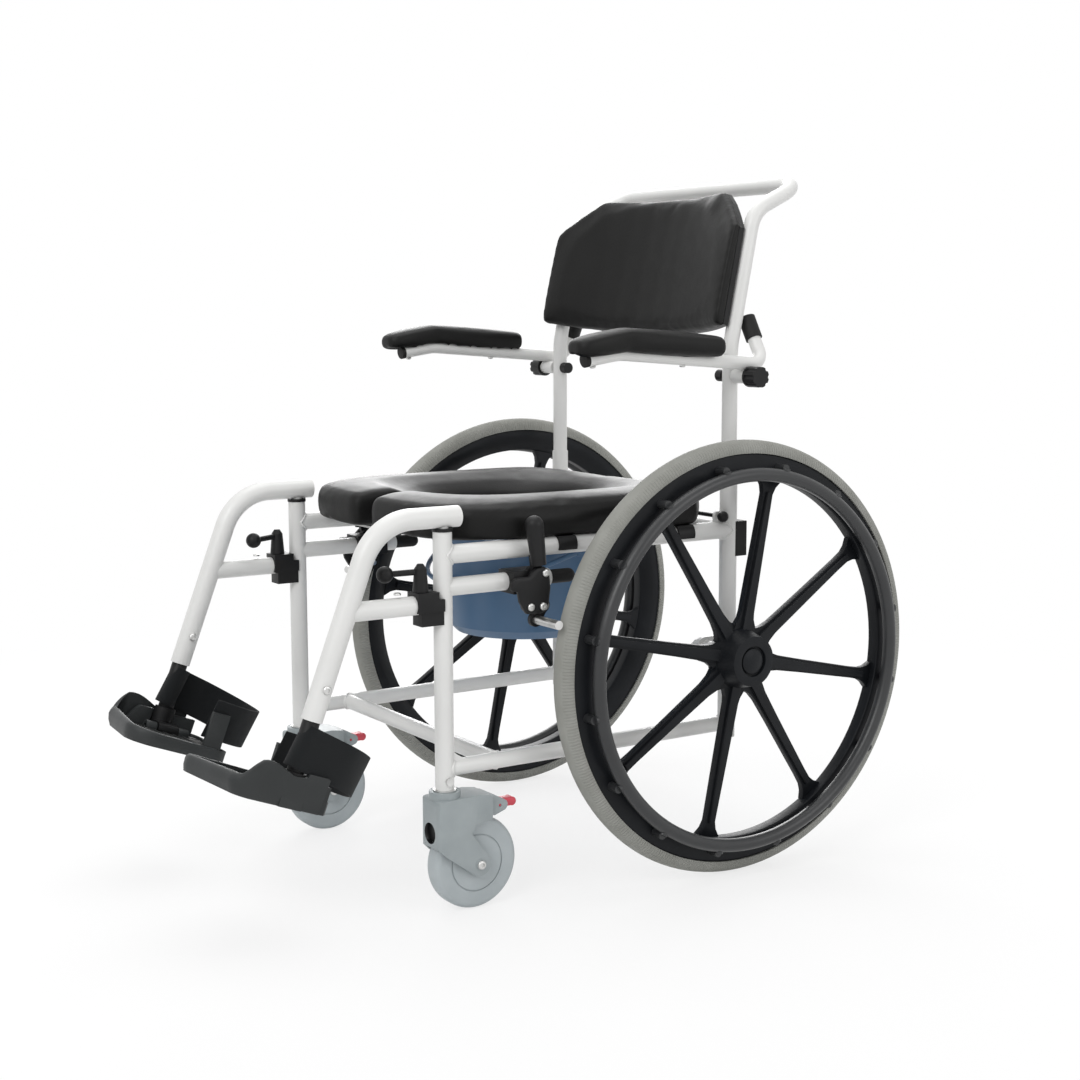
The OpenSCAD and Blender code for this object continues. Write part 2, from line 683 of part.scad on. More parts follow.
// Axles: bolts through the bracket sleeves, with a head inside and a nut in the hub
axle_head_d = 20;
axle_head_t = 8;
nut_d = 20;
nut_t = 8;
bearing_d = 32;
bearing_t = 10;
bearing_out = 10;
shoulder_d = 18;
nut_x = wheel_x + bearing_out + bearing_t + run_gap;
module axles() {
    color(steel) both_sides() {
        axle_rod(half_w - sleeve_in, nut_x + nut_t, axle_y, wheel_r, axle_d);
        translate([half_w - sleeve_in - axle_head_t, axle_y, wheel_r]) rotate([0, 90, 0])
            cylinder(h = axle_head_t, d = axle_head_d, $fn = 6);
        axle_rod(sleeve_x1, wheel_x - hub_in - run_gap, axle_y, wheel_r, shoulder_d);
        translate([nut_x, axle_y, wheel_r]) rotate([0, 90, 0]) cylinder(h = nut_t, d = nut_d, $fn = 6);
    }
}

// Screws and pins of the frame: brake pivots and the bolts that lock the caster stems
pin_head_d = 13;
pin_head_t = 3;
lever_t = 7;
foot_bolt_d = 11;
foot_bolt_t = 3;
foot_bolt_up = 12;
module fasteners() {
    color(steel) both_sides() {
        for (p = [lever_pivot, shoe_pivot]) {
            axle_rod(plate_x0, brake_x + run_gap + lever_t + run_gap, p[0], p[1], brake_pin_d);
            axle_rod(brake_x + run_gap + lever_t + run_gap, brake_x + 2 * run_gap + lever_t + pin_head_t,
                p[0], p[1], pin_head_d);
        }
        difference() {
            axle_rod(half_w, half_w + post_d / 2 + foot_bolt_t, front_y, post_z0 + foot_bolt_up, foot_bolt_d);
            translate([half_w, front_y, post_z0]) cylinder(h = stem_plug_l, d = post_d);
        }
    }
}

// Rear wheels: local Z points away from the chair along the axle
module wheel_frame(s) {
    side(s) translate([wheel_x, axle_y, wheel_r]) rotate([0, 90, 0]) children();
}

rim_r = rim_d / 2;
rim_in_r = rim_in_d / 2;
module tyre(s) {
    crown = wheel_r - tyre_w / 2;
    color(grey_tyre) wheel_frame(s) rotate_extrude($fn = 128) difference() {
        translate([crown, 0]) circle(d = tyre_w, $fn = 48);
        translate([rim_r - tyre_w, -tyre_w]) square([tyre_w, 2 * tyre_w]);
    }
}

// Rim: its outer face is flat for the hand rim's pegs, its inner face slopes to the spokes
rim_land_share = 0.55;
rim_edge_share = 0.3;
module rim(s) {
    land = rim_in_r + (rim_r - rim_in_r) * rim_land_share;
    color(black_plastic) wheel_frame(s) rotate_extrude($fn = 128) polygon([
        [rim_in_r, rim_w / 2], [rim_r, rim_w / 2], [rim_r, -rim_w / 2], [land, -rim_w / 2],
        [rim_in_r, -rim_w / 2 * rim_edge_share]]);
}

// Hub and spokes: one moulding with a conical hub, recessed in its face, and a rib along each spoke
hub_d = 46;
hub_flange_d = 92;
hub_flange_h0 = -8;
hub_out = 36;
hub_boss_d = 70;
hub_recess_d = 43;
hub_recess = 5;
spoke_turn = 33;
spoke_t = 9;
spoke_rib_t = 19;
spoke_rib_w = 8;
spoke_hub_h = 2;
spoke_rim_h = 0;
spoke_tip_in = 18;
// Shares of the rim's inner radius along a spoke, and the half width of the spoke there
spoke_along_shares = [0.05, 0.13, 0.175, 0.22, 0.28, 0.45, 0.85, 0.92, 0.96, 0.985, 1.02];
spoke_half_widths = [17, 20, 18.5, 13, 10.5, 9.3, 8, 8.5, 12, 17, 24];
module spoke() {
    n = len(spoke_along_shares) - 1;
    dish = atan((spoke_hub_h - spoke_rim_h) / rim_in_r);
    translate([0, 0, spoke_hub_h]) rotate([0, dish, 0]) {
        linear_extrude(spoke_t, center = true) polygon(concat(
            [for (i = [0:n]) [rim_in_r * spoke_along_shares[i], spoke_half_widths[i]]],
            [for (i = [n:-1:0]) [rim_in_r * spoke_along_shares[i], -spoke_half_widths[i]]]));
        linear_extrude(spoke_rib_t, center = true) polygon([
            [hub_d / 2, -spoke_rib_w], [hub_d / 2, spoke_rib_w],
            [rim_in_r - spoke_tip_in, spoke_rib_w / 2], [rim_in_r - spoke_tip_in, -spoke_rib_w / 2]]);
    }
}

module spokes(s) {
    color(black_plastic) wheel_frame(s) difference() {
        union() {
            translate([0, 0, -hub_in]) cylinder(h = hub_in, d = hub_d);
            translate([0, 0, hub_flange_h0])
                cylinder(h = hub_out - hub_flange_h0, d1 = hub_flange_d, d2 = hub_boss_d);
            intersection() {
                for (i = [1:spoke_n]) rotate(360 * i / spoke_n + spoke_turn) spoke();
                translate([0, 0, -wheel_out]) cylinder(h = 2 * wheel_out, r = rim_in_r, $fn = 128);
            }
        }
        translate([0, 0, -hub_in - over]) cylinder(h = bearing_t + over, d = bearing_d);
        translate([0, 0, bearing_out]) cylinder(h = hub_out - bearing_out + over, d = bearing_d);
        translate([0, 0, hub_out - hub_recess]) cylinder(h = hub_recess + over, d = hub_recess_d);
        translate([0, 0, -hub_in]) cylinder(h = 2 * hub_out, d = shoulder_d);
    }
}

// Hand rim: a ring carried on bent pegs from the rim's outer face, at the spokes and midway
peg_d = 12;
rim_mid_r = (rim_in_r + rim_r) / 2;
module handrim(s) {
    color(black_plastic) wheel_frame(s) {
        translate([0, 0, handrim_out]) rotate_extrude($fn = 128)
            translate([handrim_d / 2, 0]) circle(d = handrim_t, $fn = 32);
        for (i = [1:2 * spoke_n]) rotate(180 * i / spoke_n + spoke_turn) {
            translate([rim_mid_r, 0, rim_w / 2]) cylinder(h = handrim_out - rim_w / 2, d = peg_d);
            rod([handrim_d / 2, 0, handrim_out], [rim_mid_r, 0, handrim_out], peg_d);
        }
    }
}

// Bearings: a pair in the hub that turns on the axle
module bearings(s) {
    color(steel) wheel_frame(s) for (h = [-hub_in, bearing_out]) translate([0, 0, h]) difference() {
        cylinder(h = bearing_t, d = bearing_d);
        translate([0, 0, -over]) cylinder(h = bearing_t + 2 * over, d = axle_d + fit_gap);
    }
}

// Hub cap: a plug in the hub's recess with a domed face
cap_flange_d = 36;
cap_flange_t = 3;
cap_dome_h = 4;
cap_plug_t = 2;
module hub_cap(s) {
    base = hub_out - hub_recess;
    dome_r = (cap_flange_d ^ 2 / 4 + cap_dome_h ^ 2) / (2 * cap_dome_h);
    color(black_plastic) wheel_frame(s) {
        translate([0, 0, base - cap_plug_t]) cylinder(h = cap_plug_t, d = bearing_d);
        translate([0, 0, base]) cylinder(h = cap_flange_t, d = cap_flange_d);
        translate([0, 0, base + cap_flange_t]) intersection() {
            cylinder(h = cap_dome_h, d = cap_flange_d);
            translate([0, 0, cap_dome_h - dome_r]) sphere(r = dome_r);
        }
    }
}

// Front casters: local origin under the swivel axis, on the floor
module caster_frame(s) {
    side(s) translate([half_w, front_y, 0]) children();
}

// Fork: a hooded moulding over the wheel, with a collar at the post and legs down to the axle
fork_gap = 3.5;
leg_t = 6.5;
leg_eye_r = 16;
hood_z = post_z0 - washer_t - run_gap;
collar_d = 42;
collar_h = 9;
hood_front = 23;
hood_tail = 88;
hood_low = 33;
tail_drop = 19.8;
axle_bolt_d = 15;
recess_d = 22;
recess_t = 4;
recess_up = 47;
recess_z = caster_r + recess_up;
tail_w = 30;
function fork_outline() = let (
    roof = hood_z - collar_h, brow = recess_z - recess_d * 0.8, under = roof - hood_low)
    concat(
        arc([-hood_front + leg_eye_r / 2, roof - leg_eye_r / 2], leg_eye_r / 2, 180, 90, 4),
        [[caster_trail, roof + washer_t], [hood_tail - 1.6 * leg_eye_r, roof - washer_t]],
        arc([hood_tail - leg_eye_r / 2, roof - tail_drop], leg_eye_r / 2, 70, -60, 4),
        [[caster_trail + leg_eye_r * 1.6, under], [caster_trail - leg_eye_r * 0.4, under - leg_eye_r * 0.3],
         [caster_trail - leg_eye_r * 0.8, under - leg_eye_r]],
        arc([caster_trail, caster_r], leg_eye_r, 50, -130, 10),
        [[-hood_front + leg_eye_r * 0.7, brow - leg_eye_r * 0.7], [-hood_front, brow]]);
module caster_fork(s) {
    color(grey_plastic) caster_frame(s) difference() {
        union() {
            difference() {
                along_x(-fork_w / 2, fork_w / 2) polygon(fork_outline());
                axle_rod(leg_t - fork_w / 2, fork_w / 2 - leg_t, caster_trail, caster_r,
                    caster_d + 2 * fork_gap);
                for (x = [-fork_w, tail_w / 2])
                    translate([x, caster_trail + leg_eye_r * 1.2, caster_r + leg_eye_r * 2])
                        cube([fork_w - tail_w / 2, hood_tail, hood_z]);
            }
            translate([0, 0, hood_z - collar_h - washer_t]) cylinder(h = collar_h + washer_t, d = collar_d);
            axle_rod(-fork_w / 2 - washer_t, fork_w / 2 + washer_t, caster_trail, caster_r, axle_bolt_d / 2);
            for (x = [-fork_w / 2 - washer_t, fork_w / 2])
                axle_rod(x, x + washer_t, caster_trail, caster_r, axle_bolt_d);
        }
        translate([0, 0, post_z0 - stem_l - run_gap]) cylinder(h = stem_l, d = stem_d + fit_gap);
        translate([0, -hood_front - over, recess_z]) rotate([-90, 0, 0])
            cylinder(h = recess_t + over, d = recess_d);
        pedal_pocket();
    }
}

// Caster wheel: a soft tread on a disc with a groove round its face
tread_round = 8;
groove_r = 39;
groove_w = 2;
groove_t = 1.5;
core_w = 2 * (fork_w / 2 - leg_t) - 2 * run_gap;
core_r = 14;
module caster_wheel(s) {
    color(grey_plastic) caster_frame(s) translate([0, caster_trail, caster_r]) rotate([0, 90, 0]) difference() {
        union() {
            rotate_extrude($fn = 96) {
                square_w = caster_w - 2 * tread_round;
                translate([0, -square_w / 2]) square([caster_r, square_w]);
                translate([0, -caster_w / 2]) square([caster_r - tread_round, caster_w]);
                for (h = [-1, 1]) translate([caster_r - tread_round, h * square_w / 2])
                    circle(r = tread_round, $fn = 32);
            }
            translate([0, 0, -core_w / 2]) cylinder(h = core_w, r = core_r);
        }
        translate([0, 0, -core_w]) cylinder(h = 2 * core_w, d = axle_bolt_d / 2 + fit_gap);
        for (h = [-caster_w / 2 - over, caster_w / 2 - groove_t]) translate([0, 0, h]) difference() {
            cylinder(h = groove_t + over, r = groove_r);
            translate([0, 0, -over]) cylinder(h = groove_t + 3 * over, r = groove_r - groove_w);
        }
    }
}

// Brake pedal: a tab behind the hood that turns on a pin across the hood's tail
pedal_in = 4;
pedal_pivot = [hood_tail - leg_eye_r / 2 - pedal_in, hood_z - collar_h - tail_drop];
pedal_w = 16;
pedal_pin_d = 4;
pedal_eye_r = 5.5;
pedal_l = 30;
pedal_tip_r = 6;
pocket_gap = 1;
module pedal_pocket() {
    axle_rod(-pedal_w / 2 - pocket_gap, pedal_w / 2 + pocket_gap, pedal_pivot[0], pedal_pivot[1],
        2 * pedal_eye_r + 2 * pocket_gap);
    translate([-pedal_w / 2 - pocket_gap, pedal_pivot[0], pedal_pivot[1] - 2 * pedal_eye_r])
        cube([pedal_w + 2 * pocket_gap, hood_tail, 4 * pedal_eye_r]);
    axle_rod(-tail_w, tail_w, pedal_pivot[0], pedal_pivot[1], pedal_pin_d + fit_gap);
}
module caster_pedal(s) {
    y0 = pedal_pivot[0];
    z0 = pedal_pivot[1];
    color(red_plastic) caster_frame(s) {
        along_x(-pedal_w / 2, pedal_w / 2) {
            translate([y0, z0]) circle(r = pedal_eye_r);
            translate([y0 + pedal_l - pedal_tip_r, z0]) circle(r = pedal_tip_r);
            translate([y0, z0 - pedal_eye_r]) square([pedal_l - pedal_tip_r, 2 * pedal_eye_r]);
        }
        axle_rod(-tail_w / 2, tail_w / 2, y0, z0, pedal_pin_d);
    }
}

// Armrests: a tube that turns on a welded sleeve and bends in behind the back frame to its stop
arm_x = half_w + arm_out;
arm_z = arm_pivot_z + arm_rise;
arm_front_y = rear_y - arm_l;
arm_knee_y = arm_front_y + arm_dip_l;
arm_knee_r = 60;
stop_in = 36;
stop_up = 59;
stop_bend_r = 22;
stop_d = 24;
stop_l = 30;
stop_gap = 1.2;
stop_y = rear_y + (back_d + stop_d) / 2 + tan(recline) * (arm_z + stop_up + clip_wall - recline_z) + stop_gap;
arm_sleeve_d = 20;
stop_tip = [arm_x - stop_in, stop_y, arm_z + stop_up];
function arm_axis(y) = arm_z + tan(arm_tilt) * (rear_y - max(y, arm_knee_y))
    - tan(arm_dip) * max(0, arm_knee_y - y);
arm_path = concat([for (y = [arm_front_y, arm_knee_y, stop_y]) [arm_x, y, arm_axis(y)]], [stop_tip]);
module arm_tube(s) {
    color(white_paint) side(s) difference() {
        union() {
            bent_rod(arm_path, [0, arm_knee_r, stop_bend_r, 0], arm_d);
            axle_rod(arm_sleeve_x0, arm_sleeve_x0 + arm_sleeve_l, rear_y, arm_pivot_z, arm_sleeve_d);
        }
        axle_rod(arm_sleeve_x0 - over, arm_sleeve_x0 + arm_sleeve_l + over, rear_y, arm_pivot_z,
            arm_pin_d + fit_gap);
    }
}

// Armrest rubbers: a pad with a groove for the tube, the plug in the tube's front end, the stop's sleeve
arm_pad_out = 8;
arm_pad_over = 29;
arm_pad_up = 3.5;
arm_plug_l = 6;
arm_groove_half = arm_d / 2 + pad_gap;
arm_groove_up = arm_d / 2 / cos(arm_dip) + pad_gap;
arm_section_n = 14;
section_power = 3;
arm_knee_share = (arm_pad_over + arm_dip_l) / arm_pad_l;
arm_along_shares = [
    0, 0.012, 0.045, 0.1, 0.17, 0.25, arm_knee_share, 0.45, 0.6, 0.75, 0.88, 0.955, 0.985, 0.997, 1];
arm_round_shares = [0.4, 0.66, 0.86, 0.96, 1, 1, 1, 1, 1, 1, 1, 1, 0.96, 0.86, 0.74];
function bulge(c, power) = sign(c) * abs(c) ^ (2 / power);
function arm_ring(i) = let (
    y = arm_front_y - arm_pad_over + arm_pad_l * arm_along_shares[i], axis = arm_axis(y),
    half_h = arm_pad_t / 2 * arm_round_shares[i], half = arm_pad_w / 2 * arm_round_shares[i],
    x = arm_x + arm_pad_out, z = axis + arm_pad_up + arm_pad_t / 2, low = z - half_h,
    groove_x0 = max(x - half * 0.7, arm_x - arm_groove_half), groove_x1 = arm_x + arm_groove_half,
    groove_z = max(low + run_gap, axis + arm_groove_up))
    concat([for (j = [0:arm_section_n]) let (a = -50 + 280 * j / arm_section_n)
            [x + half * bulge(cos(a), section_power), y, z + half_h * bulge(sin(a), section_power)]],
        [[groove_x0, y, low], [groove_x0, y, groove_z], [groove_x1, y, groove_z], [groove_x1, y, low],
         [x + half * 0.6, y, low]]);
module arm_pad(s) {
    nose = arm_path[0];
    nose_way = unit(nose - arm_path[1]);
    tip_way = unit(stop_tip - arm_path[2]);
    color(black_foam) side(s) {
        loft([for (i = [0:len(arm_along_shares) - 1]) arm_ring(i)]);
        rod(nose, nose + nose_way * arm_plug_l, arm_d);
        difference() {
            rod(stop_tip - tip_way * stop_l, stop_tip + tip_way * clip_wall, stop_d);
            rod(stop_tip - tip_way * (stop_l + over), stop_tip, arm_d);
        }
    }
}

// Footrest hangers: a bent tube on a pin in the post top, with a short tube back to the latch
hanger_tail = 23;
hanger_pin_l = 36;
latch_tube_d = 25;
latch_front = 44;
latch_socket_l = 5;
foot_tube_in = 45;
hanger_apex = [half_w, front_y - hanger_reach, hanger_z];
hanger_way = [0, -sin(hanger_tilt), -cos(hanger_tilt)];
hanger_end = hanger_apex + hanger_way * hanger_l;
latch_tube_y = front_y - hanger_reach - tan(hanger_tilt) * (hanger_z - latch_z);
module hanger(s) {
    color(white_paint) side(s) difference() {
        union() {
            bent_rod([[half_w, front_y + hanger_tail, hanger_z], hanger_apex, hanger_end],
                [0, hanger_bend_r, 0], hanger_d);
            translate([half_w, front_y, post_z1 - hanger_pin_l])
                cylinder(h = hanger_z - post_z1 + hanger_pin_l, d = hanger_pin_d);
            rod([half_w, latch_tube_y, latch_z], [half_w, front_y - latch_front + latch_socket_l, latch_z],
                latch_tube_d);
        }
        rod(hanger_end - hanger_way * (foot_tube_in + over), hanger_end + hanger_way, foot_d + fit_gap);
    }
}

// Footplate axes: X inwards from the foot tube, Y to the toes, Z up along the tube
module foot_frame(s) {
    side(s) multmatrix([
        [-1, 0, 0, half_w],
        [0, -cos(hanger_tilt), sin(hanger_tilt), front_y - foot_reach],
        [0, sin(hanger_tilt), cos(hanger_tilt), foot_z],
        [0, 0, 0, 1]]) children();
}

// Foot tube: slides in the hanger, with a socket, a knuckle and the footplate's hinge pin at its foot
hinge_u = 24;
hinge_pin_d = 8;
hinge_pin_l = 60;
knuckle_l = 30;
knuckle_d = 20;
foot_socket_d = 30;
foot_socket_low = 11;
foot_socket_h = 41;
module foot_tube(s) {
    color(white_paint) foot_frame(s) {
        cylinder(h = foot_l - hanger_l + foot_tube_in, d = foot_d);
        translate([0, 0, -foot_socket_low]) cylinder(h = foot_socket_h, d = foot_socket_d);
        translate([0, -knuckle_l / 2, -knuckle_d / 2]) cube([hinge_u, knuckle_l, knuckle_d]);
        translate([hinge_u, knuckle_l / 2, 0]) rotate([90, 0, 0]) cylinder(h = knuckle_l, d = knuckle_d);
        translate([hinge_u, hinge_pin_l / 2, 0]) rotate([90, 0, 0]) cylinder(h = hinge_pin_l, d = hinge_pin_d);
    }
}

// Footplate: a rimmed tread with ribs, hinge ears, an outer shield above and skirt below, and a heel post
plate_outer = 10;
plate_inner = plate_w - plate_outer;
toe_outer_l = 76;
plate_round = 22;
plate_rim_w = 4;
plate_rim_h = 4;
notch_gap = 2;
ear_d = 17;
ear_l = 16;
shield_t = 9;
shield_h = 24;
shield_flat_v = 34;
shield_end_v = 58;
shield_steps = 10;
heel_post_h = 36;
skirt_h = 17;
skirt_bite = 4;
rib_n = 7;
rib_w = 4;
rib_h = 1.5;
strap_t = 2.5;
strap_gap = 0.4;
strap_inner_u = 105;
strap_end_v = -22;
tab_t = 7;
tab_l = 26;
tab_h = 50;
plate_outline_steps = 6;
plate_toe_turn = 96;
plate_toe_steps = 16;
function plate_outline(inset) = let (r = plate_round - inset) concat(
    arc([-plate_outer + plate_round, -heel_l + plate_round], r, 270, 180, plate_outline_steps),
    arc([-plate_outer + plate_round, toe_outer_l - plate_round], r, 180, plate_toe_turn, plate_outline_steps),
    arc([plate_inner - 1.5 * plate_round, toe_l - 1.5 * plate_round], r + plate_round / 2, plate_toe_turn, 0,
        plate_toe_steps),
    arc([plate_inner - plate_round, -heel_l + 1.4 * plate_round], r, 0, -80, plate_outline_steps));
function shield_edge(share) = [shield_flat_v + (shield_end_v - shield_flat_v) * share,
    plate_t - plate_drop + (shield_h - plate_t + plate_drop) * (1 + cos(180 * share)) / 2];
module footplate(s) {
    notch_half = knuckle_l / 2 + notch_gap;
    color(black_plastic) foot_frame(s) difference() {
        union() {
            translate([0, 0, -plate_drop]) linear_extrude(plate_t) polygon(plate_outline(0));
            translate([0, 0, -plate_drop + plate_t]) linear_extrude(plate_rim_h) difference() {
                polygon(plate_outline(0));
                polygon(plate_outline(plate_rim_w));
            }
            for (i = [1:rib_n]) let (v = (toe_outer_l + heel_l / 2) * (i - 0.5) / rib_n - heel_l / 2)
                translate([hinge_u + ear_d, v, -plate_drop + plate_t])
                    cube([strap_inner_u - tab_t - hinge_u - ear_d, rib_w, rib_h]);
            for (v = [-notch_half - ear_l, notch_half]) {
                translate([hinge_u, v + ear_l, 0]) rotate([90, 0, 0]) cylinder(h = ear_l, d = ear_d);
                translate([hinge_u - ear_d / 2, v, -plate_drop]) cube([ear_d, ear_l, plate_drop]);
            }
            translate([-plate_outer, 0, 0]) rotate([90, 0, 90]) linear_extrude(shield_t) polygon(concat(
                [[shield_end_v, -plate_drop], [notch_half, -plate_drop], [notch_half, shield_h]],
                [for (i = [0:shield_steps]) shield_edge(i / shield_steps)]));
            translate([-plate_outer, -heel_l + plate_round / 2, -plate_drop])
                cube([shield_t, heel_l - plate_round / 2 - notch_half, heel_post_h]);
            translate([-plate_outer, 0, 0]) rotate([90, 0, 90]) linear_extrude(shield_t) polygon([
                [shield_end_v, skirt_bite - plate_drop], [plate_round / 2 - heel_l, skirt_bite - plate_drop],
                [plate_round / 2 - heel_l, -plate_drop - skirt_h], [-notch_half, -plate_drop - skirt_h],
                [shield_end_v, -plate_drop - over]]);
            translate([strap_inner_u + strap_t / 2 + strap_gap, strap_end_v - tab_l, -plate_drop])
                cube([tab_t, tab_l, plate_drop + tab_h]);
        }
        translate([-plate_outer - over, -notch_half, -plate_drop - over])
            cube([plate_outer + over + hinge_u + knuckle_d / 2 + notch_gap, 2 * notch_half,
                plate_drop + 2 * shield_h]);
        translate([hinge_u, hinge_pin_l, 0]) rotate([90, 0, 0])
            cylinder(h = 2 * hinge_pin_l, d = hinge_pin_d + fit_gap);
    }
}

// Heel strap: a webbing band round the foot tube, behind the heel and forward to the footplate's inner tab
strap_fall = 4;
strap_up = 62;
strap_loop_r = foot_d / 2 + strap_gap + strap_t;
strap_loop_l = tan(strap_fall) * strap_h + strap_gap;
module strap_outline() {
    bow_r = (strap_inner_u + strap_loop_r) / 2 + strap_t / 4;
    bow = [strap_inner_u + strap_t / 2 - bow_r, -strap_l + bow_r];
    difference() {
        union() {
            for (v = [-strap_loop_l / 2, strap_loop_l / 2]) translate([0, v]) circle(r = strap_loop_r);
            translate([-strap_loop_r, -strap_loop_l / 2]) square([2 * strap_loop_r, strap_loop_l]);
        }
        for (v = [-strap_loop_l / 2, strap_loop_l / 2]) translate([0, v]) circle(r = strap_loop_r - strap_t);
        translate([strap_t - strap_loop_r, -strap_loop_l / 2])
            square([2 * strap_loop_r - 2 * strap_t, strap_loop_l]);
    }
    translate([-strap_loop_r, bow[1]]) square([strap_t, -bow[1]]);
    difference() {
        translate(bow) circle(r = bow_r, $fn = 96);
        translate(bow) circle(r = bow_r - strap_t, $fn = 96);
        translate([-strap_l, bow[1]]) square(3 * strap_l);
    }
    translate([strap_inner_u - strap_t / 2, bow[1]]) square([strap_t, strap_end_v - bow[1]]);
}
module heel_strap(s) {
    color(black_plastic) foot_frame(s) translate([0, 0, strap_up]) rotate([strap_fall, 0, 0])
        linear_extrude(strap_h, center = true) strap_outline();
}

// Latch block: a clamp on the end of the latch tube that hugs the post
block_w = 30;
block_up = 17;
block_low = 9;
block_end = 5;
step_w = 24;
step_h = 18;
step_in = 6;
latch_gap = 0.5;
jaw_gap = 1;
jaw_room = post_d / 2 + jaw_gap;
jaw_z = brake_rail_z - brake_rail_d / 2 - jaw_gap;
latch_fwd = 33;
latch_pivot_y = front_y - latch_fwd;
latch_shaft_d = 10;
latch_shaft_l = 15;
module latch_block(s) {
    color(black_plastic) side(s) difference() {
        union() {
            translate([half_w - block_w / 2, front_y - latch_front, latch_z - block_low])
                cube([block_w, latch_front - block_end, block_low + block_up]);
            translate([half_w - step_w / 2, front_y - latch_front + step_in, latch_z - block_low - step_h])
                cube([step_w, latch_front - block_end - step_in, step_h]);
        }
        translate([half_w, front_y, latch_z - block_w]) cylinder(h = 2 * block_w, d = post_d + 2 * latch_gap);
        translate([half_w - block_w, front_y - jaw_room, jaw_z]) cube(2 * block_w);
        rod([half_w, front_y - latch_front - over, latch_z],
            [half_w, front_y - latch_front + latch_socket_l, latch_z], latch_tube_d);
        translate([half_w, latch_pivot_y, latch_z + block_up - latch_shaft_l])
            cylinder(h = latch_shaft_l + over, d = latch_shaft_d + fit_gap);
    }
}

// Latch lever: a turning column on the block with an arm and a ball knob
column_d = 21;
column_top_d = 16;
column_h = 30;
column_tip_h = 6;
ball_d = 22;
ball_in = 14;
ball_fwd = 44;
ball_drop = 6;
latch_arm_d = 8;
module latch_lever(s) {
    base = latch_z + block_up + run_gap;
    top = base + column_h;
    ball = [half_w - ball_in, latch_pivot_y - ball_fwd, top - ball_drop];
    color(black_plastic) side(s) {
        translate([half_w, latch_pivot_y, base - latch_shaft_l + 2 * run_gap])
            cylinder(h = latch_shaft_l, d = latch_shaft_d);
        translate([half_w, latch_pivot_y, base]) cylinder(h = column_h, d1 = column_d, d2 = column_top_d);
        translate([half_w, latch_pivot_y, top]) cylinder(h = column_tip_h, d1 = column_top_d, d2 = latch_arm_d);
        rod([half_w, latch_pivot_y, top - latch_arm_d / 2], ball, latch_arm_d);
        translate(ball) sphere(d = ball_d);
    }
}

// Brake lever: a flat arm on the bracket's upper pin with a rubber grip
lever_w = 14;
lever_eye_r = 12;
grip_l = 66;
grip_out = 12;
grip_low_share = 0.78;
lever_lean = 8;
module brake_lever(s) {
    x0 = brake_x + run_gap;
    neck = lever_l - grip_l;
    color(black_plastic) side(s) difference() {
        translate([0, lever_pivot[0], lever_pivot[1]]) rotate([lever_lean, 0, 0]) union() {
            along_x(x0, x0 + lever_t) {
                circle(r = lever_eye_r);
                translate([-lever_w / 2, 0]) square([lever_w, neck + grip_d / 2]);
            }
            translate([x0 + grip_out, 0, neck]) {
                cylinder(h = grip_l - grip_d / 2, d1 = grip_d * grip_low_share, d2 = grip_d);
                translate([0, 0, grip_l - grip_d / 2]) sphere(d = grip_d);
            }
        }
        axle_rod(brake_x - over, brake_x + 2 * grip_d, lever_pivot[0], lever_pivot[1], brake_pin_d + fit_gap);
        axle_rod(x0 + lever_t, brake_x + 2 * grip_d, lever_pivot[0], lever_pivot[1], pin_head_d + 4 * run_gap);
    }
}

// Brake shoe: an arm on the bracket's lower pin with a bar across the tyre's tread
shoe_arm = [-11, -18];
shoe_arm_t = 6;
shoe_eye_r = 10;
shoe_web_w = 17;
shoe_reach = 60;
module brake_shoe(s) {
    x0 = brake_x + run_gap;
    bar = shoe_pivot + shoe_arm;
    color(steel) side(s) difference() {
        union() {
            along_x(x0, x0 + shoe_arm_t) {
                translate(shoe_pivot) circle(r = shoe_eye_r);
                translate(bar) circle(r = shoe_eye_r);
                translate(shoe_pivot) rotate(atan2(shoe_arm[1], shoe_arm[0]))
                    translate([0, -shoe_web_w / 2]) square([norm(shoe_arm), shoe_web_w]);
            }
            axle_rod(x0 + shoe_arm_t / 2, x0 + shoe_reach, bar[0], bar[1], shoe_d);
        }
        axle_rod(x0 - over, x0 + shoe_arm_t + over, shoe_pivot[0], shoe_pivot[1], brake_pin_d + fit_gap);
    }
}

// Pan: a tapered bucket whose rim slides on the ledges, with a stub each side for the bail
pan_aft = 29;
pan_y = seat_mid_y + pan_aft;
pan_rim_z = ledge_z + run_gap;
pan_rim_t = 4;
pan_lip_h = 5;
pan_foot_r = 12;
stub_drop = 14;
stub_d = 10;
stub_x = pan_top_d / 2 + 15;
module pan() {
    floor_z = pan_rim_z + pan_rim_t - pan_h;
    slope = (pan_top_d - pan_floor_d) / 2 / pan_h;
    color(blue_plastic) translate([0, pan_y, 0]) {
        rotate_extrude($fn = 96) polygon(concat(
            [[0, floor_z], [pan_floor_d / 2 - pan_foot_r, floor_z], [pan_floor_d / 2, floor_z + pan_foot_r]],
            [[pan_top_d / 2, pan_rim_z], [pan_rim_d / 2, pan_rim_z], [pan_rim_d / 2, pan_rim_z + pan_rim_t]],
            [[pan_top_d / 2 + pan_wall, pan_rim_z + pan_rim_t],
             [pan_top_d / 2, pan_rim_z + pan_rim_t + pan_lip_h],
             [pan_top_d / 2 - pan_wall, pan_rim_z + pan_rim_t + pan_lip_h]],
            [[pan_top_d / 2 - pan_wall, pan_rim_z], [pan_floor_d / 2 - pan_wall, floor_z + pan_foot_r],
             [pan_floor_d / 2 - pan_foot_r, floor_z + pan_wall], [0, floor_z + pan_wall]]));
        both_sides() axle_rod(pan_top_d / 2 - pan_wall - slope * stub_drop, stub_x, 0, pan_rim_z - stub_drop,
            stub_d);
    }
}

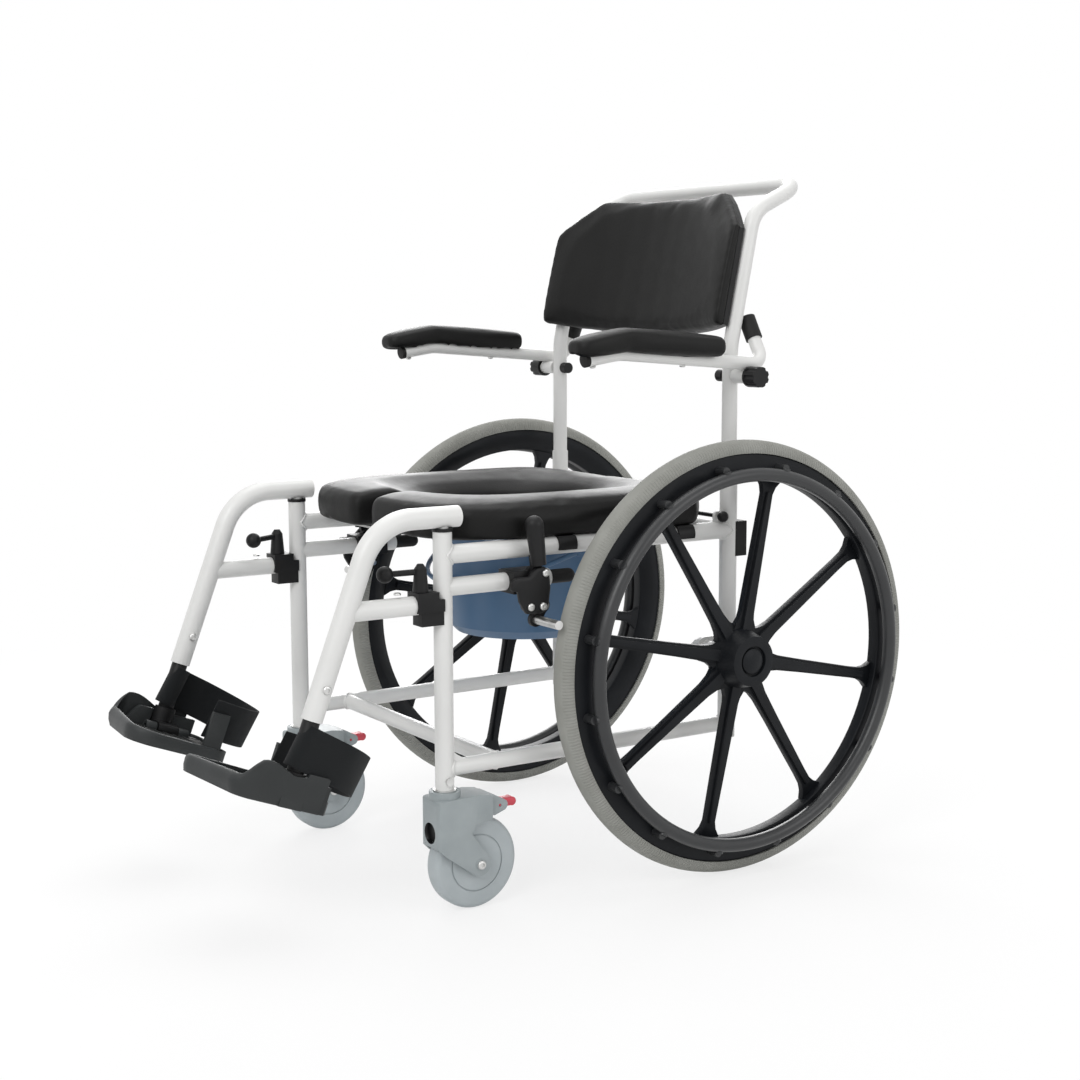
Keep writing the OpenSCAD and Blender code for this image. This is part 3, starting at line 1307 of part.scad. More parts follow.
// Bail: a half hoop on the pan's stubs that hangs forward below the rim
bail_d = 7;
bail_eye_d = 17;
bail_fall = 20;
bail_r = stub_x - bail_d / 2;
module pan_bail() {
    color(blue_plastic) translate([0, pan_y, pan_rim_z - stub_drop]) rotate([bail_fall, 0, 0]) difference() {
        union() {
            rotate([0, 0, 180]) rotate_extrude(angle = 180, $fn = 96)
                translate([bail_r, 0]) circle(d = bail_d, $fn = 24);
            both_sides() axle_rod(bail_r - bail_d / 2, bail_r + bail_d / 2, 0, 0, bail_eye_d);
        }
        axle_rod(-stub_x - over, stub_x + over, 0, 0, stub_d + fit_gap);
    }
}

front_posts();
rear_posts();
seat_rails();
brake_rails();
lower_rails();
front_cross_tube();
rear_cross_tube();
back_frame();
backrest_shell();
backrest_pad();
seat_pad();
seat_clips();
seat_rod();
end_plugs();
hanger_bushes();
caster_stems();
arm_pivots();
brake_brackets();
axles();
fasteners();
tyre(left);  // tyre_left
rim(left);  // rim_left
spokes(left);  // spokes_left
handrim(left);  // handrim_left
bearings(left);  // bearings_left
hub_cap(left);  // hub_cap_left
tyre(right);  // tyre_right
rim(right);  // rim_right
spokes(right);  // spokes_right
handrim(right);  // handrim_right
bearings(right);  // bearings_right
hub_cap(right);  // hub_cap_right
caster_fork(left);  // caster_fork_left
caster_wheel(left);  // caster_wheel_left
caster_pedal(left);  // caster_pedal_left
caster_fork(right);  // caster_fork_right
caster_wheel(right);  // caster_wheel_right
caster_pedal(right);  // caster_pedal_right
arm_tube(left);  // arm_tube_left
arm_pad(left);  // arm_pad_left
arm_tube(right);  // arm_tube_right
arm_pad(right);  // arm_pad_right
hanger(left);  // hanger_left
foot_tube(left);  // foot_tube_left
latch_block(left);  // latch_block_left
latch_lever(left);  // latch_lever_left
footplate(left);  // footplate_left
heel_strap(left);  // heel_strap_left
hanger(right);  // hanger_right
foot_tube(right);  // foot_tube_right
latch_block(right);  // latch_block_right
latch_lever(right);  // latch_lever_right
footplate(right);  // footplate_right
heel_strap(right);  // heel_strap_right
brake_lever(left);  // brake_lever_left
brake_shoe(left);  // brake_shoe_left
brake_lever(right);  // brake_lever_right
brake_shoe(right);  // brake_shoe_right
pan();
pan_bail();
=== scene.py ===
import json
import math

import bpy
import numpy as np
from mathutils import Matrix, Vector


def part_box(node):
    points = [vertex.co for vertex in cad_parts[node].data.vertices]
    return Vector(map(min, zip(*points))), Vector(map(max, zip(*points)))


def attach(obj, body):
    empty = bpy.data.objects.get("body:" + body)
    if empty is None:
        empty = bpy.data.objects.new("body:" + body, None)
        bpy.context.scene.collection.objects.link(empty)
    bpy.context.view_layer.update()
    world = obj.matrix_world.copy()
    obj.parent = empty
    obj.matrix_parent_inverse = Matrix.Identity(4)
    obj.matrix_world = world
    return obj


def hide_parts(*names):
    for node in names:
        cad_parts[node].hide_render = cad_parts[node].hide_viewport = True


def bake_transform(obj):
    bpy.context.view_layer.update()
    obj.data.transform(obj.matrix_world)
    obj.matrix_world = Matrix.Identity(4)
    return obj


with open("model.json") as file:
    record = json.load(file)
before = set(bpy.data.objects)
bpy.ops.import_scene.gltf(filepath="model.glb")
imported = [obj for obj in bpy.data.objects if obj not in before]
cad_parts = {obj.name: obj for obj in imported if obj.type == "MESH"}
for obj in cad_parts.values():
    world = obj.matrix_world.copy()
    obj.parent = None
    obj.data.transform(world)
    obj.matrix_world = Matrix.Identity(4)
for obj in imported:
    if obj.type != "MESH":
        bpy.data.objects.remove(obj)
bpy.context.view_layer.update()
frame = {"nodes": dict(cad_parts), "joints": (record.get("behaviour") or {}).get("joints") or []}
nodes = frame["nodes"]
bpy.ops.object.select_all(action="DESELECT")


# The room: a pale floor under soft studio light, with the camera at the height of the backrest,
# in front of the chair's left side.
scene = bpy.context.scene
scene.view_settings.view_transform = "Standard"
camera = bpy.data.objects.new("camera", bpy.data.cameras.new("camera"))
camera.data.lens = 59.2
camera.data.clip_end = 50
camera.location = (2.182, -1.3448, 0.792)
look_down, lean_over, look_left = 7.48, 0.14, 56.83
camera.rotation_euler = [math.radians(turn) for turn in (90 - look_down, lean_over, look_left)]
scene.collection.objects.link(camera)
scene.camera = camera


def plainly_seen(tree):
    """One where a ray comes from the camera, a reflection or a clear surface, and zero elsewhere."""
    path = tree.nodes.new("ShaderNodeLightPath")
    seen = path.outputs["Is Camera Ray"]
    for also in ("Is Glossy Ray", "Is Transmission Ray"):
        either = tree.nodes.new("ShaderNodeMath")
        either.operation = "MAXIMUM"
        tree.links.new(seen, either.inputs[0])
        tree.links.new(path.outputs[also], either.inputs[1])
        seen = either.outputs[0]
    return seen


bpy.ops.mesh.primitive_plane_add(size=40, location=(0, 0, -0.0005))
floor = bpy.context.object
floor.name = "floor"
floor_paint = bpy.data.materials.new("floor_paint")
floor_paint.use_nodes = True
floor_tree = floor_paint.node_tree
floor_shader = floor_tree.nodes["Principled BSDF"]
floor_shader.inputs["Base Color"].default_value = (0.9, 0.9, 0.9, 1)
floor_shader.inputs["Roughness"].default_value = 0.9
floor_shader.inputs["Specular IOR Level"].default_value = 0.1
floor_glow = floor_tree.nodes.new("ShaderNodeEmission")
floor_place = floor_tree.nodes.new("ShaderNodeTexCoord")
floor_reach = floor_tree.nodes.new("ShaderNodeVectorMath")
floor_reach.operation = "LENGTH"
floor_tree.links.new(floor_place.outputs["Object"], floor_reach.inputs[0])
# Near the chair the floor keeps part of its shading, and far off it is as white as the background.
near_reach, far_reach, near_share = 0.7, 1.9, 0.74
floor_fade = floor_tree.nodes.new("ShaderNodeMapRange")
floor_fade.inputs["From Min"].default_value = near_reach
floor_fade.inputs["From Max"].default_value = far_reach
floor_fade.inputs["To Min"].default_value = near_share
floor_tree.links.new(floor_reach.outputs["Value"], floor_fade.inputs["Value"])
floor_share = floor_tree.nodes.new("ShaderNodeMath")
floor_share.operation = "MULTIPLY"
floor_tree.links.new(plainly_seen(floor_tree), floor_share.inputs[0])
floor_tree.links.new(floor_fade.outputs[0], floor_share.inputs[1])
floor_mix = floor_tree.nodes.new("ShaderNodeMixShader")
floor_tree.links.new(floor_share.outputs[0], floor_mix.inputs[0])
floor_tree.links.new(floor_shader.outputs[0], floor_mix.inputs[1])
floor_tree.links.new(floor_glow.outputs[0], floor_mix.inputs[2])
floor_tree.links.new(floor_mix.outputs[0], floor_tree.nodes["Material Output"].inputs["Surface"])
floor.data.materials.append(floor_paint)

room = bpy.data.worlds.new("room")
scene.world = room
room.use_nodes = True
room_tree = room.node_tree
room_light = room_tree.nodes["Background"]
room_light.inputs["Color"].default_value = (1, 1, 1, 1)
room_light.inputs["Strength"].default_value = 0.5
room_seen = room_tree.nodes.new("ShaderNodeBackground")
room_seen.inputs["Color"].default_value = (1, 1, 1, 1)
room_seen.inputs["Strength"].default_value = 1
room_mix = room_tree.nodes.new("ShaderNodeMixShader")
room_tree.links.new(plainly_seen(room_tree), room_mix.inputs[0])
room_tree.links.new(room_light.outputs[0], room_mix.inputs[1])
room_tree.links.new(room_seen.outputs[0], room_mix.inputs[2])
room_tree.links.new(room_mix.outputs[0], room_tree.nodes["World Output"].inputs["Surface"])

for name, place, target, size, watts in (
    ("key_light", (1.6, -2.6, 2.6), (0, 0, 0.5), 1.8, 46),
    ("top_light", (-0.3, 0.2, 2.9), (0, 0, 0.5), 2.2, 34),
    ("side_light", (3.0, 1.2, 1.6), (0, 0, 0.5), 1.6, 16),
    ("back_light", (-2.6, 1.7, 1.5), (0, 0, 0.55), 1.8, 56),
):
    lamp = bpy.data.objects.new(name, bpy.data.lights.new(name, "AREA"))
    lamp.data.size = size
    lamp.data.energy = watts
    lamp.location = place
    lamp.visible_camera = False
    lamp.rotation_euler = (Vector(target) - Vector(place)).to_track_quat("-Z", "Y").to_euler()
    scene.collection.objects.link(lamp)


# Frame tubes: aluminium tube, bent, notched and welded, then powder coated white as one weldment.
# The coat has a faint orange peel, gathers very slightly warmer in places and covers the weld beads.
def surface(name, colour, roughness):
    """A new material of a plain colour and roughness, with its tree, shader and coordinates."""
    made = bpy.data.materials.new(name)
    made.use_nodes = True
    tree = made.node_tree
    shader = tree.nodes["Principled BSDF"]
    shader.inputs["Base Color"].default_value = (*colour, 1)
    shader.inputs["Roughness"].default_value = roughness
    coords = tree.nodes.new("ShaderNodeTexCoord")
    return made, tree, shader, coords.outputs["Object"]


def noise(tree, coords, scale, detail=3.0, stretch=(1, 1, 1)):
    """A cloudy pattern of the given scale, drawn out along an axis where stretch is below one."""
    mapping = tree.nodes.new("ShaderNodeMapping")
    mapping.inputs["Scale"].default_value = stretch
    tree.links.new(coords, mapping.inputs["Vector"])
    pattern = tree.nodes.new("ShaderNodeTexNoise")
    pattern.inputs["Scale"].default_value = scale
    pattern.inputs["Detail"].default_value = detail
    tree.links.new(mapping.outputs[0], pattern.inputs["Vector"])
    return pattern.outputs["Fac"]


def tint(tree, shader, pattern, low, high, start=0.3, stop=0.7):
    """Varies the shader's colour between two near colours."""
    ramp = tree.nodes.new("ShaderNodeValToRGB")
    ramp.color_ramp.elements[0].position = start
    ramp.color_ramp.elements[0].color = (*low, 1)
    ramp.color_ramp.elements[1].position = stop
    ramp.color_ramp.elements[1].color = (*high, 1)
    tree.links.new(pattern, ramp.inputs["Fac"])
    tree.links.new(ramp.outputs["Color"], shader.inputs["Base Color"])


def polish(tree, shader, pattern, low, high):
    """Varies the shader's roughness between two values."""
    spread = tree.nodes.new("ShaderNodeMapRange")
    spread.inputs["To Min"].default_value = low
    spread.inputs["To Max"].default_value = high
    tree.links.new(pattern, spread.inputs["Value"])
    tree.links.new(spread.outputs[0], shader.inputs["Roughness"])


def relief(tree, shader, pattern, depth, strength=1.0, under=None):
    """Raises the surface by the pattern, depth in metres, over an earlier relief where one is given."""
    bump = tree.nodes.new("ShaderNodeBump")
    bump.inputs["Distance"].default_value = depth
    bump.inputs["Strength"].default_value = strength
    tree.links.new(pattern, bump.inputs["Height"])
    if under is not None:
        tree.links.new(under.outputs["Normal"], bump.inputs["Normal"])
    tree.links.new(bump.outputs["Normal"], shader.inputs["Normal"])
    return bump


white_paint, tree, shader, coords = surface("white_powder_coat", (0.73, 0.73, 0.717), 0.34)
tint(tree, shader, noise(tree, coords, 9), (0.705, 0.705, 0.692), (0.75, 0.75, 0.737))
polish(tree, shader, noise(tree, coords, 40), 0.28, 0.4)
relief(tree, shader, noise(tree, coords, 750, 1), 0.00012, 0.35)


def paint(material, *names):
    """Gives CAD nodes or pieces one material over all their faces."""
    for name in names:
        piece = bpy.data.objects[name]
        piece.data.materials.clear()
        piece.data.materials.append(material)
        for face in piece.data.polygons:
            face.material_index = 0


paint(
    white_paint, "front_posts", "rear_posts", "seat_rails", "brake_rails", "lower_rails", "front_cross_tube",
    "rear_cross_tube", "back_frame", "arm_tube_left", "arm_tube_right", "hanger_left", "hanger_right",
)


def pick(piece):
    """Makes one piece the only selected and active one."""
    bpy.ops.object.select_all(action="DESELECT")
    bpy.context.view_layer.objects.active = piece
    piece.select_set(True)


def points_of(piece):
    """The piece's points as an array."""
    found = np.empty(len(piece.data.vertices) * 3)
    piece.data.vertices.foreach_get("co", found)
    return found.reshape(-1, 3)


def set_points(piece, points):
    """Moves the piece's points to new places."""
    piece.data.vertices.foreach_set("co", np.ascontiguousarray(points).ravel())
    piece.data.update()


def middle(node):
    """The middle of a CAD node's box."""
    low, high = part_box(node)
    return (low + high) / 2


# Places of the tubes, read from the solids
post_low, post_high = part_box("front_posts")
post_r = (post_high.y - post_low.y) / 2
half_w = post_high.x - post_r
front_y, rear_y = middle("front_posts").y, middle("rear_cross_tube").y
seat_rail_z, seat_rail_r = middle("rear_cross_tube").z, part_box("seat_rails")[1].x - half_w
brake_rail_z, brake_rail_r = middle("brake_rails").z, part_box("brake_rails")[1].x - half_w
lower_rail_z, lower_rail_r = middle("front_cross_tube").z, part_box("lower_rails")[1].x - half_w
cross_y = middle("front_cross_tube").y
# A bead's radius, low where a latch clamp swings past it, and the height and number of its ripples
bead_r, low_bead_r, ripple_h, ripples = 0.0022, 0.0006, 0.0003, 22
beads = []


def weld(centre, post_way, radius, way, tube_r, bead=bead_r):
    """A weld bead on the saddle line where a tube along way meets another tube of the given radius."""
    bpy.ops.object.select_all(action="DESELECT")
    bpy.ops.mesh.primitive_torus_add(
        major_radius=tube_r, minor_radius=bead, major_segments=44, minor_segments=8
    )
    made = bpy.context.object
    found = points_of(made)
    angle = np.arctan2(found[:, 1], found[:, 0])
    saddle = np.sqrt(np.maximum(radius**2 - (tube_r * np.cos(angle)) ** 2, 0))
    lift = saddle + ripple_h * np.sin(angle * ripples)
    across = np.cross(post_way, way)
    set_points(
        made,
        np.array(centre)
        + np.outer(found[:, 0], across)
        + np.outer(found[:, 1], post_way)
        + np.outer(found[:, 2] + lift, way),
    )
    beads.append(made)


upright, rearward, forward = (0, 0, 1), (0, 1, 0), (0, -1, 0)
for out in (1, -1):
    x, inward = out * half_w, (-out, 0, 0)
    weld((x, front_y, seat_rail_z), upright, post_r, rearward, seat_rail_r)
    weld((x, rear_y, seat_rail_z), upright, post_r, forward, seat_rail_r)
    weld((x, front_y, brake_rail_z), upright, post_r, rearward, brake_rail_r, low_bead_r)
    weld((x, front_y, lower_rail_z), upright, post_r, rearward, lower_rail_r)
    weld((x, rear_y, lower_rail_z), upright, post_r, forward, lower_rail_r)
    weld((x, rear_y, seat_rail_z), upright, post_r, inward, lower_rail_r)
    weld((x, cross_y, lower_rail_z), rearward, lower_rail_r, inward, lower_rail_r)
pick(beads[0])
for bead in beads:
    bead.select_set(True)
bpy.ops.object.join()
weld_beads = bpy.context.object
weld_beads.name = "weld_beads"
bpy.ops.object.shade_smooth()
paint(white_paint, "weld_beads")
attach(weld_beads, "frame")


# Bolts and screws: zinc plated button heads with a socket. They clamp the hangers' inner tubes,
# the latch tubes, the armrest pads, the brakes and the caster axles.
bright_steel, tree, shader, coords = surface("zinc_plated_steel", (0.6, 0.6, 0.59), 0.33)
shader.inputs["Metallic"].default_value = 1.0
tint(tree, shader, noise(tree, coords, 60), (0.52, 0.52, 0.51), (0.68, 0.68, 0.67))
polish(tree, shader, noise(tree, coords, 300, 2, (0.1, 1, 1)), 0.25, 0.42)
paint(
    bright_steel, "axles", "bearings_left", "bearings_right", "caster_stems", "fasteners", "brake_shoe_left",
    "brake_shoe_right",
)

# The pattern for every head, in head radii
head_h, head_round, socket_wall, socket_depth, head_rise = 0.62, 0.4, 0.12, 0.34, 0.28
bpy.ops.object.select_all(action="DESELECT")
bpy.ops.mesh.primitive_cylinder_add(vertices=28, radius=1, depth=head_h, location=(0, 0, 0))
button_head = bpy.context.object


def select_faces(piece, chosen):
    """Selects the faces whose middle and normal the test accepts, and goes to edit mode."""
    bpy.ops.object.mode_set(mode="EDIT")
    bpy.ops.mesh.select_mode(type="FACE")
    bpy.ops.mesh.select_all(action="DESELECT")
    bpy.ops.object.mode_set(mode="OBJECT")
    for face in piece.data.polygons:
        face.select = bool(chosen(face.center, face.normal))
    bpy.ops.object.mode_set(mode="EDIT")


def shade(angle):
    """Shades the active piece smooth, but for edges that turn by more than an angle in degrees."""
    bpy.ops.object.shade_smooth_by_angle(angle=math.radians(angle))


select_faces(button_head, lambda at, way: way.z > 0.9)
bpy.ops.mesh.bevel(offset=head_round, segments=5, affect="EDGES")
bpy.ops.object.mode_set(mode="OBJECT")
select_faces(button_head, lambda at, way: way.z > 0.999)
bpy.ops.mesh.inset(thickness=socket_wall)
bpy.ops.mesh.extrude_region_move(TRANSFORM_OT_translate={"value": (0, 0, -socket_depth)})
bpy.ops.object.mode_set(mode="OBJECT")
shade(35)


def bolt(name, at, way, radius, body):
    """A copy of the button head, seated at a place and facing along way."""
    head = bpy.data.objects.new(name, button_head.data.copy())
    scene.collection.objects.link(head)
    turn = Vector(way).to_track_quat("Z", "Y").to_matrix().to_4x4()
    rise = Matrix.Translation((0, 0, head_rise))
    head.data.transform(Matrix.Translation(Vector(at)) @ turn @ Matrix.Scale(radius, 4) @ rise)
    paint(bright_steel, name)
    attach(head, body)


joints = {joint["name"]: joint for joint in frame["joints"]}
hands = (("left", 1), ("right", -1))
hanger_r = (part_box("hanger_left")[1].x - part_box("hanger_left")[0].x) / 2
flip_axis = Vector(joints["footplate_flip_left"]["axis"])
hanger_way = Vector((0, flip_axis.z, -flip_axis.y)).normalized()
hinge = Vector(joints["footplate_flip_left"]["pos_m"])
hanger_bolt_r, hanger_bolt_up = 0.0058, 0.138
latch_bolt_r, latch_bolt_ahead, latch_bolt_off, latch_tube_up = 0.0048, 0.067, 0.0122, 0.009
latch_z = middle("latch_block_left").z + latch_tube_up
for hand, out in hands:
    clamp = Vector((out * half_w, hinge.y, hinge.z)) - hanger_way * hanger_bolt_up
    for end, side in ((1, "out"), (-1, "in")):
        place = clamp + Vector((end * out * hanger_r, 0, 0))
        bolt(f"hanger_bolt_{hand}_{side}", place, (end * out, 0, 0), hanger_bolt_r, f"hanger_{hand}")
    for end, side in ((1, "top"), (-1, "low")):
        place = (out * half_w, front_y - latch_bolt_ahead, latch_z + end * latch_bolt_off)
        bolt(f"latch_bolt_{hand}_{side}", place, (0, 0, end), latch_bolt_r, f"hanger_{hand}")


# Seat pad: a horseshoe of self-skinning polyurethane foam moulded over a board, with a fine leather
# grain from its mould. It sits on the rails and swells a little over its edges.
def cells(tree, coords, scale):
    """A pattern of irregular cells, as in grained skins."""
    pattern = tree.nodes.new("ShaderNodeTexVoronoi")
    pattern.inputs["Scale"].default_value = scale
    tree.links.new(coords, pattern.inputs["Vector"])
    return pattern.outputs["Distance"]


foam_skin, tree, shader, coords = surface("black_foam_skin", (0.0042, 0.0042, 0.0041), 0.48)
shader.inputs["Specular IOR Level"].default_value = 0.2
tint(tree, shader, noise(tree, coords, 14), (0.0034, 0.0034, 0.0033), (0.0054, 0.0054, 0.0052))
polish(tree, shader, noise(tree, coords, 55), 0.42, 0.54)
skin_grain = relief(tree, shader, cells(tree, coords, 520), 0.0004, 0.3)
relief(tree, shader, noise(tree, coords, 900, 2), 0.0002, 0.25, skin_grain)


# Points this near to each other are one, a pad's foot this near to its floor isn't drawn in,
# and its foam swells for so many frames.
merge_within, base_h, foam_ticks = 0.00001, 0.002, 20


def edit_all():
    """Goes to edit mode with all of the active piece selected."""
    bpy.ops.object.mode_set(mode="EDIT")
    bpy.ops.mesh.select_all(action="SELECT")


def copy_of(node, name):
    """A copy of a CAD node's mesh as a new piece, with its loose triangles merged."""
    piece = bpy.data.objects.new(name, nodes[node].data.copy())
    scene.collection.objects.link(piece)
    pick(piece)
    edit_all()
    bpy.ops.mesh.remove_doubles(threshold=merge_within)
    bpy.ops.object.mode_set(mode="OBJECT")
    return piece


def soften(piece, rounds):
    """Evens out a pad's skin."""
    smooth = piece.modifiers.new("soften", "SMOOTH")
    smooth.factor = 0.5
    smooth.iterations = rounds
    bpy.ops.object.modifier_apply(modifier=smooth.name)


def swollen(piece, voxel, draw_in, pressure, cap, ease, floor_z=None, settle=4):
    """Remeshes a pad, draws it in and lets its foam swell as cloth under pressure, by no more than cap."""
    pick(piece)
    remesh = piece.modifiers.new("skin", "REMESH")
    remesh.mode = "VOXEL"
    remesh.voxel_size = voxel
    bpy.ops.object.modifier_apply(modifier=remesh.name)
    soften(piece, ease)
    rest = points_of(piece)
    normals = np.empty(len(piece.data.vertices) * 3)
    piece.data.vertices.foreach_get("normal", normals)
    start = rest - normals.reshape(-1, 3) * draw_in
    if floor_z is not None:
        start[:, 2] = np.where(rest[:, 2] < floor_z + base_h, rest[:, 2], start[:, 2])
    set_points(piece, start)
    cloth = piece.modifiers.new("foam", "CLOTH")
    cloth.settings.quality = 5
    cloth.settings.mass = 0.4
    cloth.settings.tension_stiffness = 18
    cloth.settings.compression_stiffness = 18
    cloth.settings.bending_stiffness = 4
    cloth.settings.use_pressure = True
    cloth.settings.uniform_pressure_force = pressure
    cloth.settings.effector_weights.gravity = 0
    cloth.collision_settings.use_collision = False
    cloth.point_cache.frame_start = 1
    cloth.point_cache.frame_end = foam_ticks
    for tick in range(1, foam_ticks + 1):
        scene.frame_set(tick)
    bpy.ops.object.modifier_apply(modifier=cloth.name)
    scene.frame_set(1)
    moved = points_of(piece) - start
    length = np.linalg.norm(moved, axis=1, keepdims=True)
    start = start + moved * np.minimum(1, cap / np.maximum(length, 1e-9))
    if floor_z is not None:
        start[:, 2] = np.maximum(start[:, 2], floor_z)
    set_points(piece, start)
    soften(piece, settle)
    round_over = piece.modifiers.new("round_over", "SUBSURF")
    round_over.levels = round_over.render_levels = 1
    bpy.ops.object.modifier_apply(modifier=round_over.name)
    bpy.ops.object.shade_smooth()
    return piece


def padding(piece, node, body):
    """Paints a foam pad's skin, hides the CAD node that it stands in for and hangs the pad on the body that
    it moves with.
    """
    paint(foam_skin, piece.name)
    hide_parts(node)
    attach(piece, body)


seat = swollen(
    copy_of("seat_pad", "seat_cushion"), voxel=0.0045, draw_in=0.0018, pressure=2.2, cap=0.003, ease=3,
    floor_z=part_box("seat_pad")[0].z,
)
padding(seat, "seat_pad", "frame")


# Backrest: a foam pad with the seat's grained skin, wrapped round the edges of a curved plastic shell
# that is screwed to the back frame.
back = swollen(
    copy_of("backrest_pad", "backrest_cushion"), voxel=0.004, draw_in=0.0014, pressure=1.6, cap=0.0024,
    ease=10, settle=8,
)
padding(back, "backrest_pad", "frame")

moulded_black, tree, shader, coords = surface("black_moulded_plastic", (0.008, 0.008, 0.0085), 0.42)
shader.inputs["Specular IOR Level"].default_value = 0.24
tint(tree, shader, noise(tree, coords, 22), (0.0062, 0.0062, 0.0066), (0.0105, 0.0105, 0.011))
polish(tree, shader, noise(tree, coords, 70), 0.38, 0.52)
relief(tree, shader, noise(tree, coords, 1400, 2), 0.00015, 0.3)
paint(moulded_black, "backrest_shell", "seat_clips", "seat_rod", "hanger_bushes", "arm_pivots")


# Armrests: a short foam pad on each flip-up tube, a plug in the tube's front end, and a rubber sleeve
# on the bent end that stops against the back frame. Screws from below hold the pads.
black_rubber, tree, shader, coords = surface("black_rubber", (0.009, 0.009, 0.009), 0.6)
shader.inputs["Specular IOR Level"].default_value = 0.24
tint(tree, shader, noise(tree, coords, 30), (0.0075, 0.0075, 0.0075), (0.012, 0.012, 0.0117))
relief(tree, shader, noise(tree, coords, 600, 3), 0.0002, 0.3)


def round_edges(piece, width, segments, angle):
    """Rounds over the edges of the active piece that turn by more than an angle in degrees."""
    edge = piece.modifiers.new("edge", "BEVEL")
    edge.width = width
    edge.segments = segments
    edge.limit_method = "ANGLE"
    edge.angle_limit = math.radians(angle)
    bpy.ops.object.modifier_apply(modifier=edge.name)


def rounded(node, name, body, width):
    """A copy of a CAD node with its edges rounded over, as its mould or a deburring wheel leaves them."""
    piece = copy_of(node, name)
    edit_all()
    bpy.ops.mesh.dissolve_limited(angle_limit=math.radians(0.5))
    bpy.ops.object.mode_set(mode="OBJECT")
    round_edges(piece, width, segments=3, angle=38)
    shade(32)
    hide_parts(node)
    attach(piece, body)
    return piece


paint(black_rubber, rounded("end_plugs", "rubber_ends", "frame", width=0.0016).name)

pivot_to_pad, under_arms_z = 0.006, 0.5
arm_screw_r, arm_screws_back = 0.0042, (0.07, 0.17)
middle_of_arm = abs(joints["armrest_flip_left"]["pos_m"][0]) + pivot_to_pad
for hand, out in hands:
    copy_of(f"arm_pad_{hand}", f"arm_cushion_{hand}")
    edit_all()
    bpy.ops.mesh.separate(type="LOOSE")
    bpy.ops.object.mode_set(mode="OBJECT")
    parts = sorted(bpy.context.selected_objects, key=lambda part: -max(part.dimensions))
    pad, ends = parts[0], parts[1:]
    pad.name = f"arm_cushion_{hand}"
    swollen(pad, voxel=0.003, draw_in=0.001, pressure=3.0, cap=0.003, ease=1)
    padding(pad, f"arm_pad_{hand}", f"armrest_{hand}")
    for number, back_by in enumerate(arm_screws_back, 1):
        below = Vector((out * middle_of_arm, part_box(f"arm_pad_{hand}")[0].y + back_by, under_arms_z))
        _, place, facing, _ = nodes[f"arm_tube_{hand}"].closest_point_on_mesh(below)
        bolt(f"arm_screw_{hand}_{number}", place, facing, arm_screw_r, f"armrest_{hand}")
    for number, end in enumerate(ends, 1):
        end.name = f"arm_rubber_{hand}_{number}"
        pick(end)
        round_edges(end, 0.0018, segments=3, angle=40)
        shade(35)
        paint(black_rubber, end.name)
        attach(end, f"armrest_{hand}")


# Rear wheels: a non-marking grey polyurethane tyre on a glass-filled nylon wheel with moulded spokes.
# The tyre's shoulders carry fine cross ribs from its mould.
axle = Vector(joints["wheel_spin_left"]["pos_m"])


def maths(tree, operation, first, second=None):
    """A Math node; each term is a socket or a number."""
    made = tree.nodes.new("ShaderNodeMath")
    made.operation = operation
    for slot, term in enumerate((first, second)):
        if isinstance(term, (int, float)):
            made.inputs[slot].default_value = term
        elif term is not None:
            tree.links.new(term, made.inputs[slot])
    return made.outputs[0]


grey_tyre, tree, shader, coords = surface("grey_tyre", (0.275, 0.277, 0.255), 0.78)
tint(tree, shader, noise(tree, coords, 26), (0.25, 0.252, 0.23), (0.3, 0.302, 0.28))
polish(tree, shader, noise(tree, coords, 120), 0.7, 0.88)
tyre_skin = relief(tree, shader, noise(tree, coords, 900, 3), 0.0003, 0.35)
parted = tree.nodes.new("ShaderNodeSeparateXYZ")
tree.links.new(coords, parted.inputs[0])
over_axle = maths(tree, "SUBTRACT", parted.outputs[2], axle.z)
behind_axle = maths(tree, "SUBTRACT", parted.outputs[1], axle.y)
turn = maths(tree, "ARCTAN2", over_axle, behind_axle)
rib_count, rib_start, rib_full = 430, 0.009, 0.0125
rib = maths(tree, "SINE", maths(tree, "MULTIPLY", turn, rib_count))
off_chair = maths(tree, "ABSOLUTE", parted.outputs[0])
off_middle = maths(tree, "ABSOLUTE", maths(tree, "SUBTRACT", off_chair, axle.x))
shoulder = tree.nodes.new("ShaderNodeMapRange")
shoulder.inputs["From Min"].default_value = rib_start
shoulder.inputs["From Max"].default_value = rib_full
tree.links.new(off_middle, shoulder.inputs["Value"])
relief(tree, shader, maths(tree, "MULTIPLY", rib, shoulder.outputs[0]), 0.0006, 0.75, tyre_skin)
paint(grey_tyre, "tyre_left", "tyre_right")

wheel_nylon, tree, shader, coords = surface("black_wheel_nylon", (0.0055, 0.0065, 0.008), 0.4)
shader.inputs["Specular IOR Level"].default_value = 0.17
tint(tree, shader, noise(tree, coords, 18), (0.005, 0.0058, 0.0072), (0.0085, 0.0098, 0.012))
polish(tree, shader, noise(tree, coords, 160, 4), 0.36, 0.52)
relief(tree, shader, noise(tree, coords, 1100, 2), 0.0002, 0.3)
hand_rim_coat, tree, shader, coords = surface("black_hand_rim_coat", (0.021, 0.022, 0.0235), 0.34)
tint(tree, shader, noise(tree, coords, 20), (0.018, 0.019, 0.0205), (0.025, 0.026, 0.0275))
polish(tree, shader, noise(tree, coords, 140, 4), 0.3, 0.42)
for hand in ("left", "right"):
    for node, width in (("rim", 0.0022), ("spokes", 0.0018), ("hub_cap", 0.0008)):
        made = rounded(f"{node}_{hand}", f"wheel_{node}_{hand}", f"wheel_{hand}", width)
        paint(wheel_nylon, made.name)
    paint(hand_rim_coat, f"handrim_{hand}")
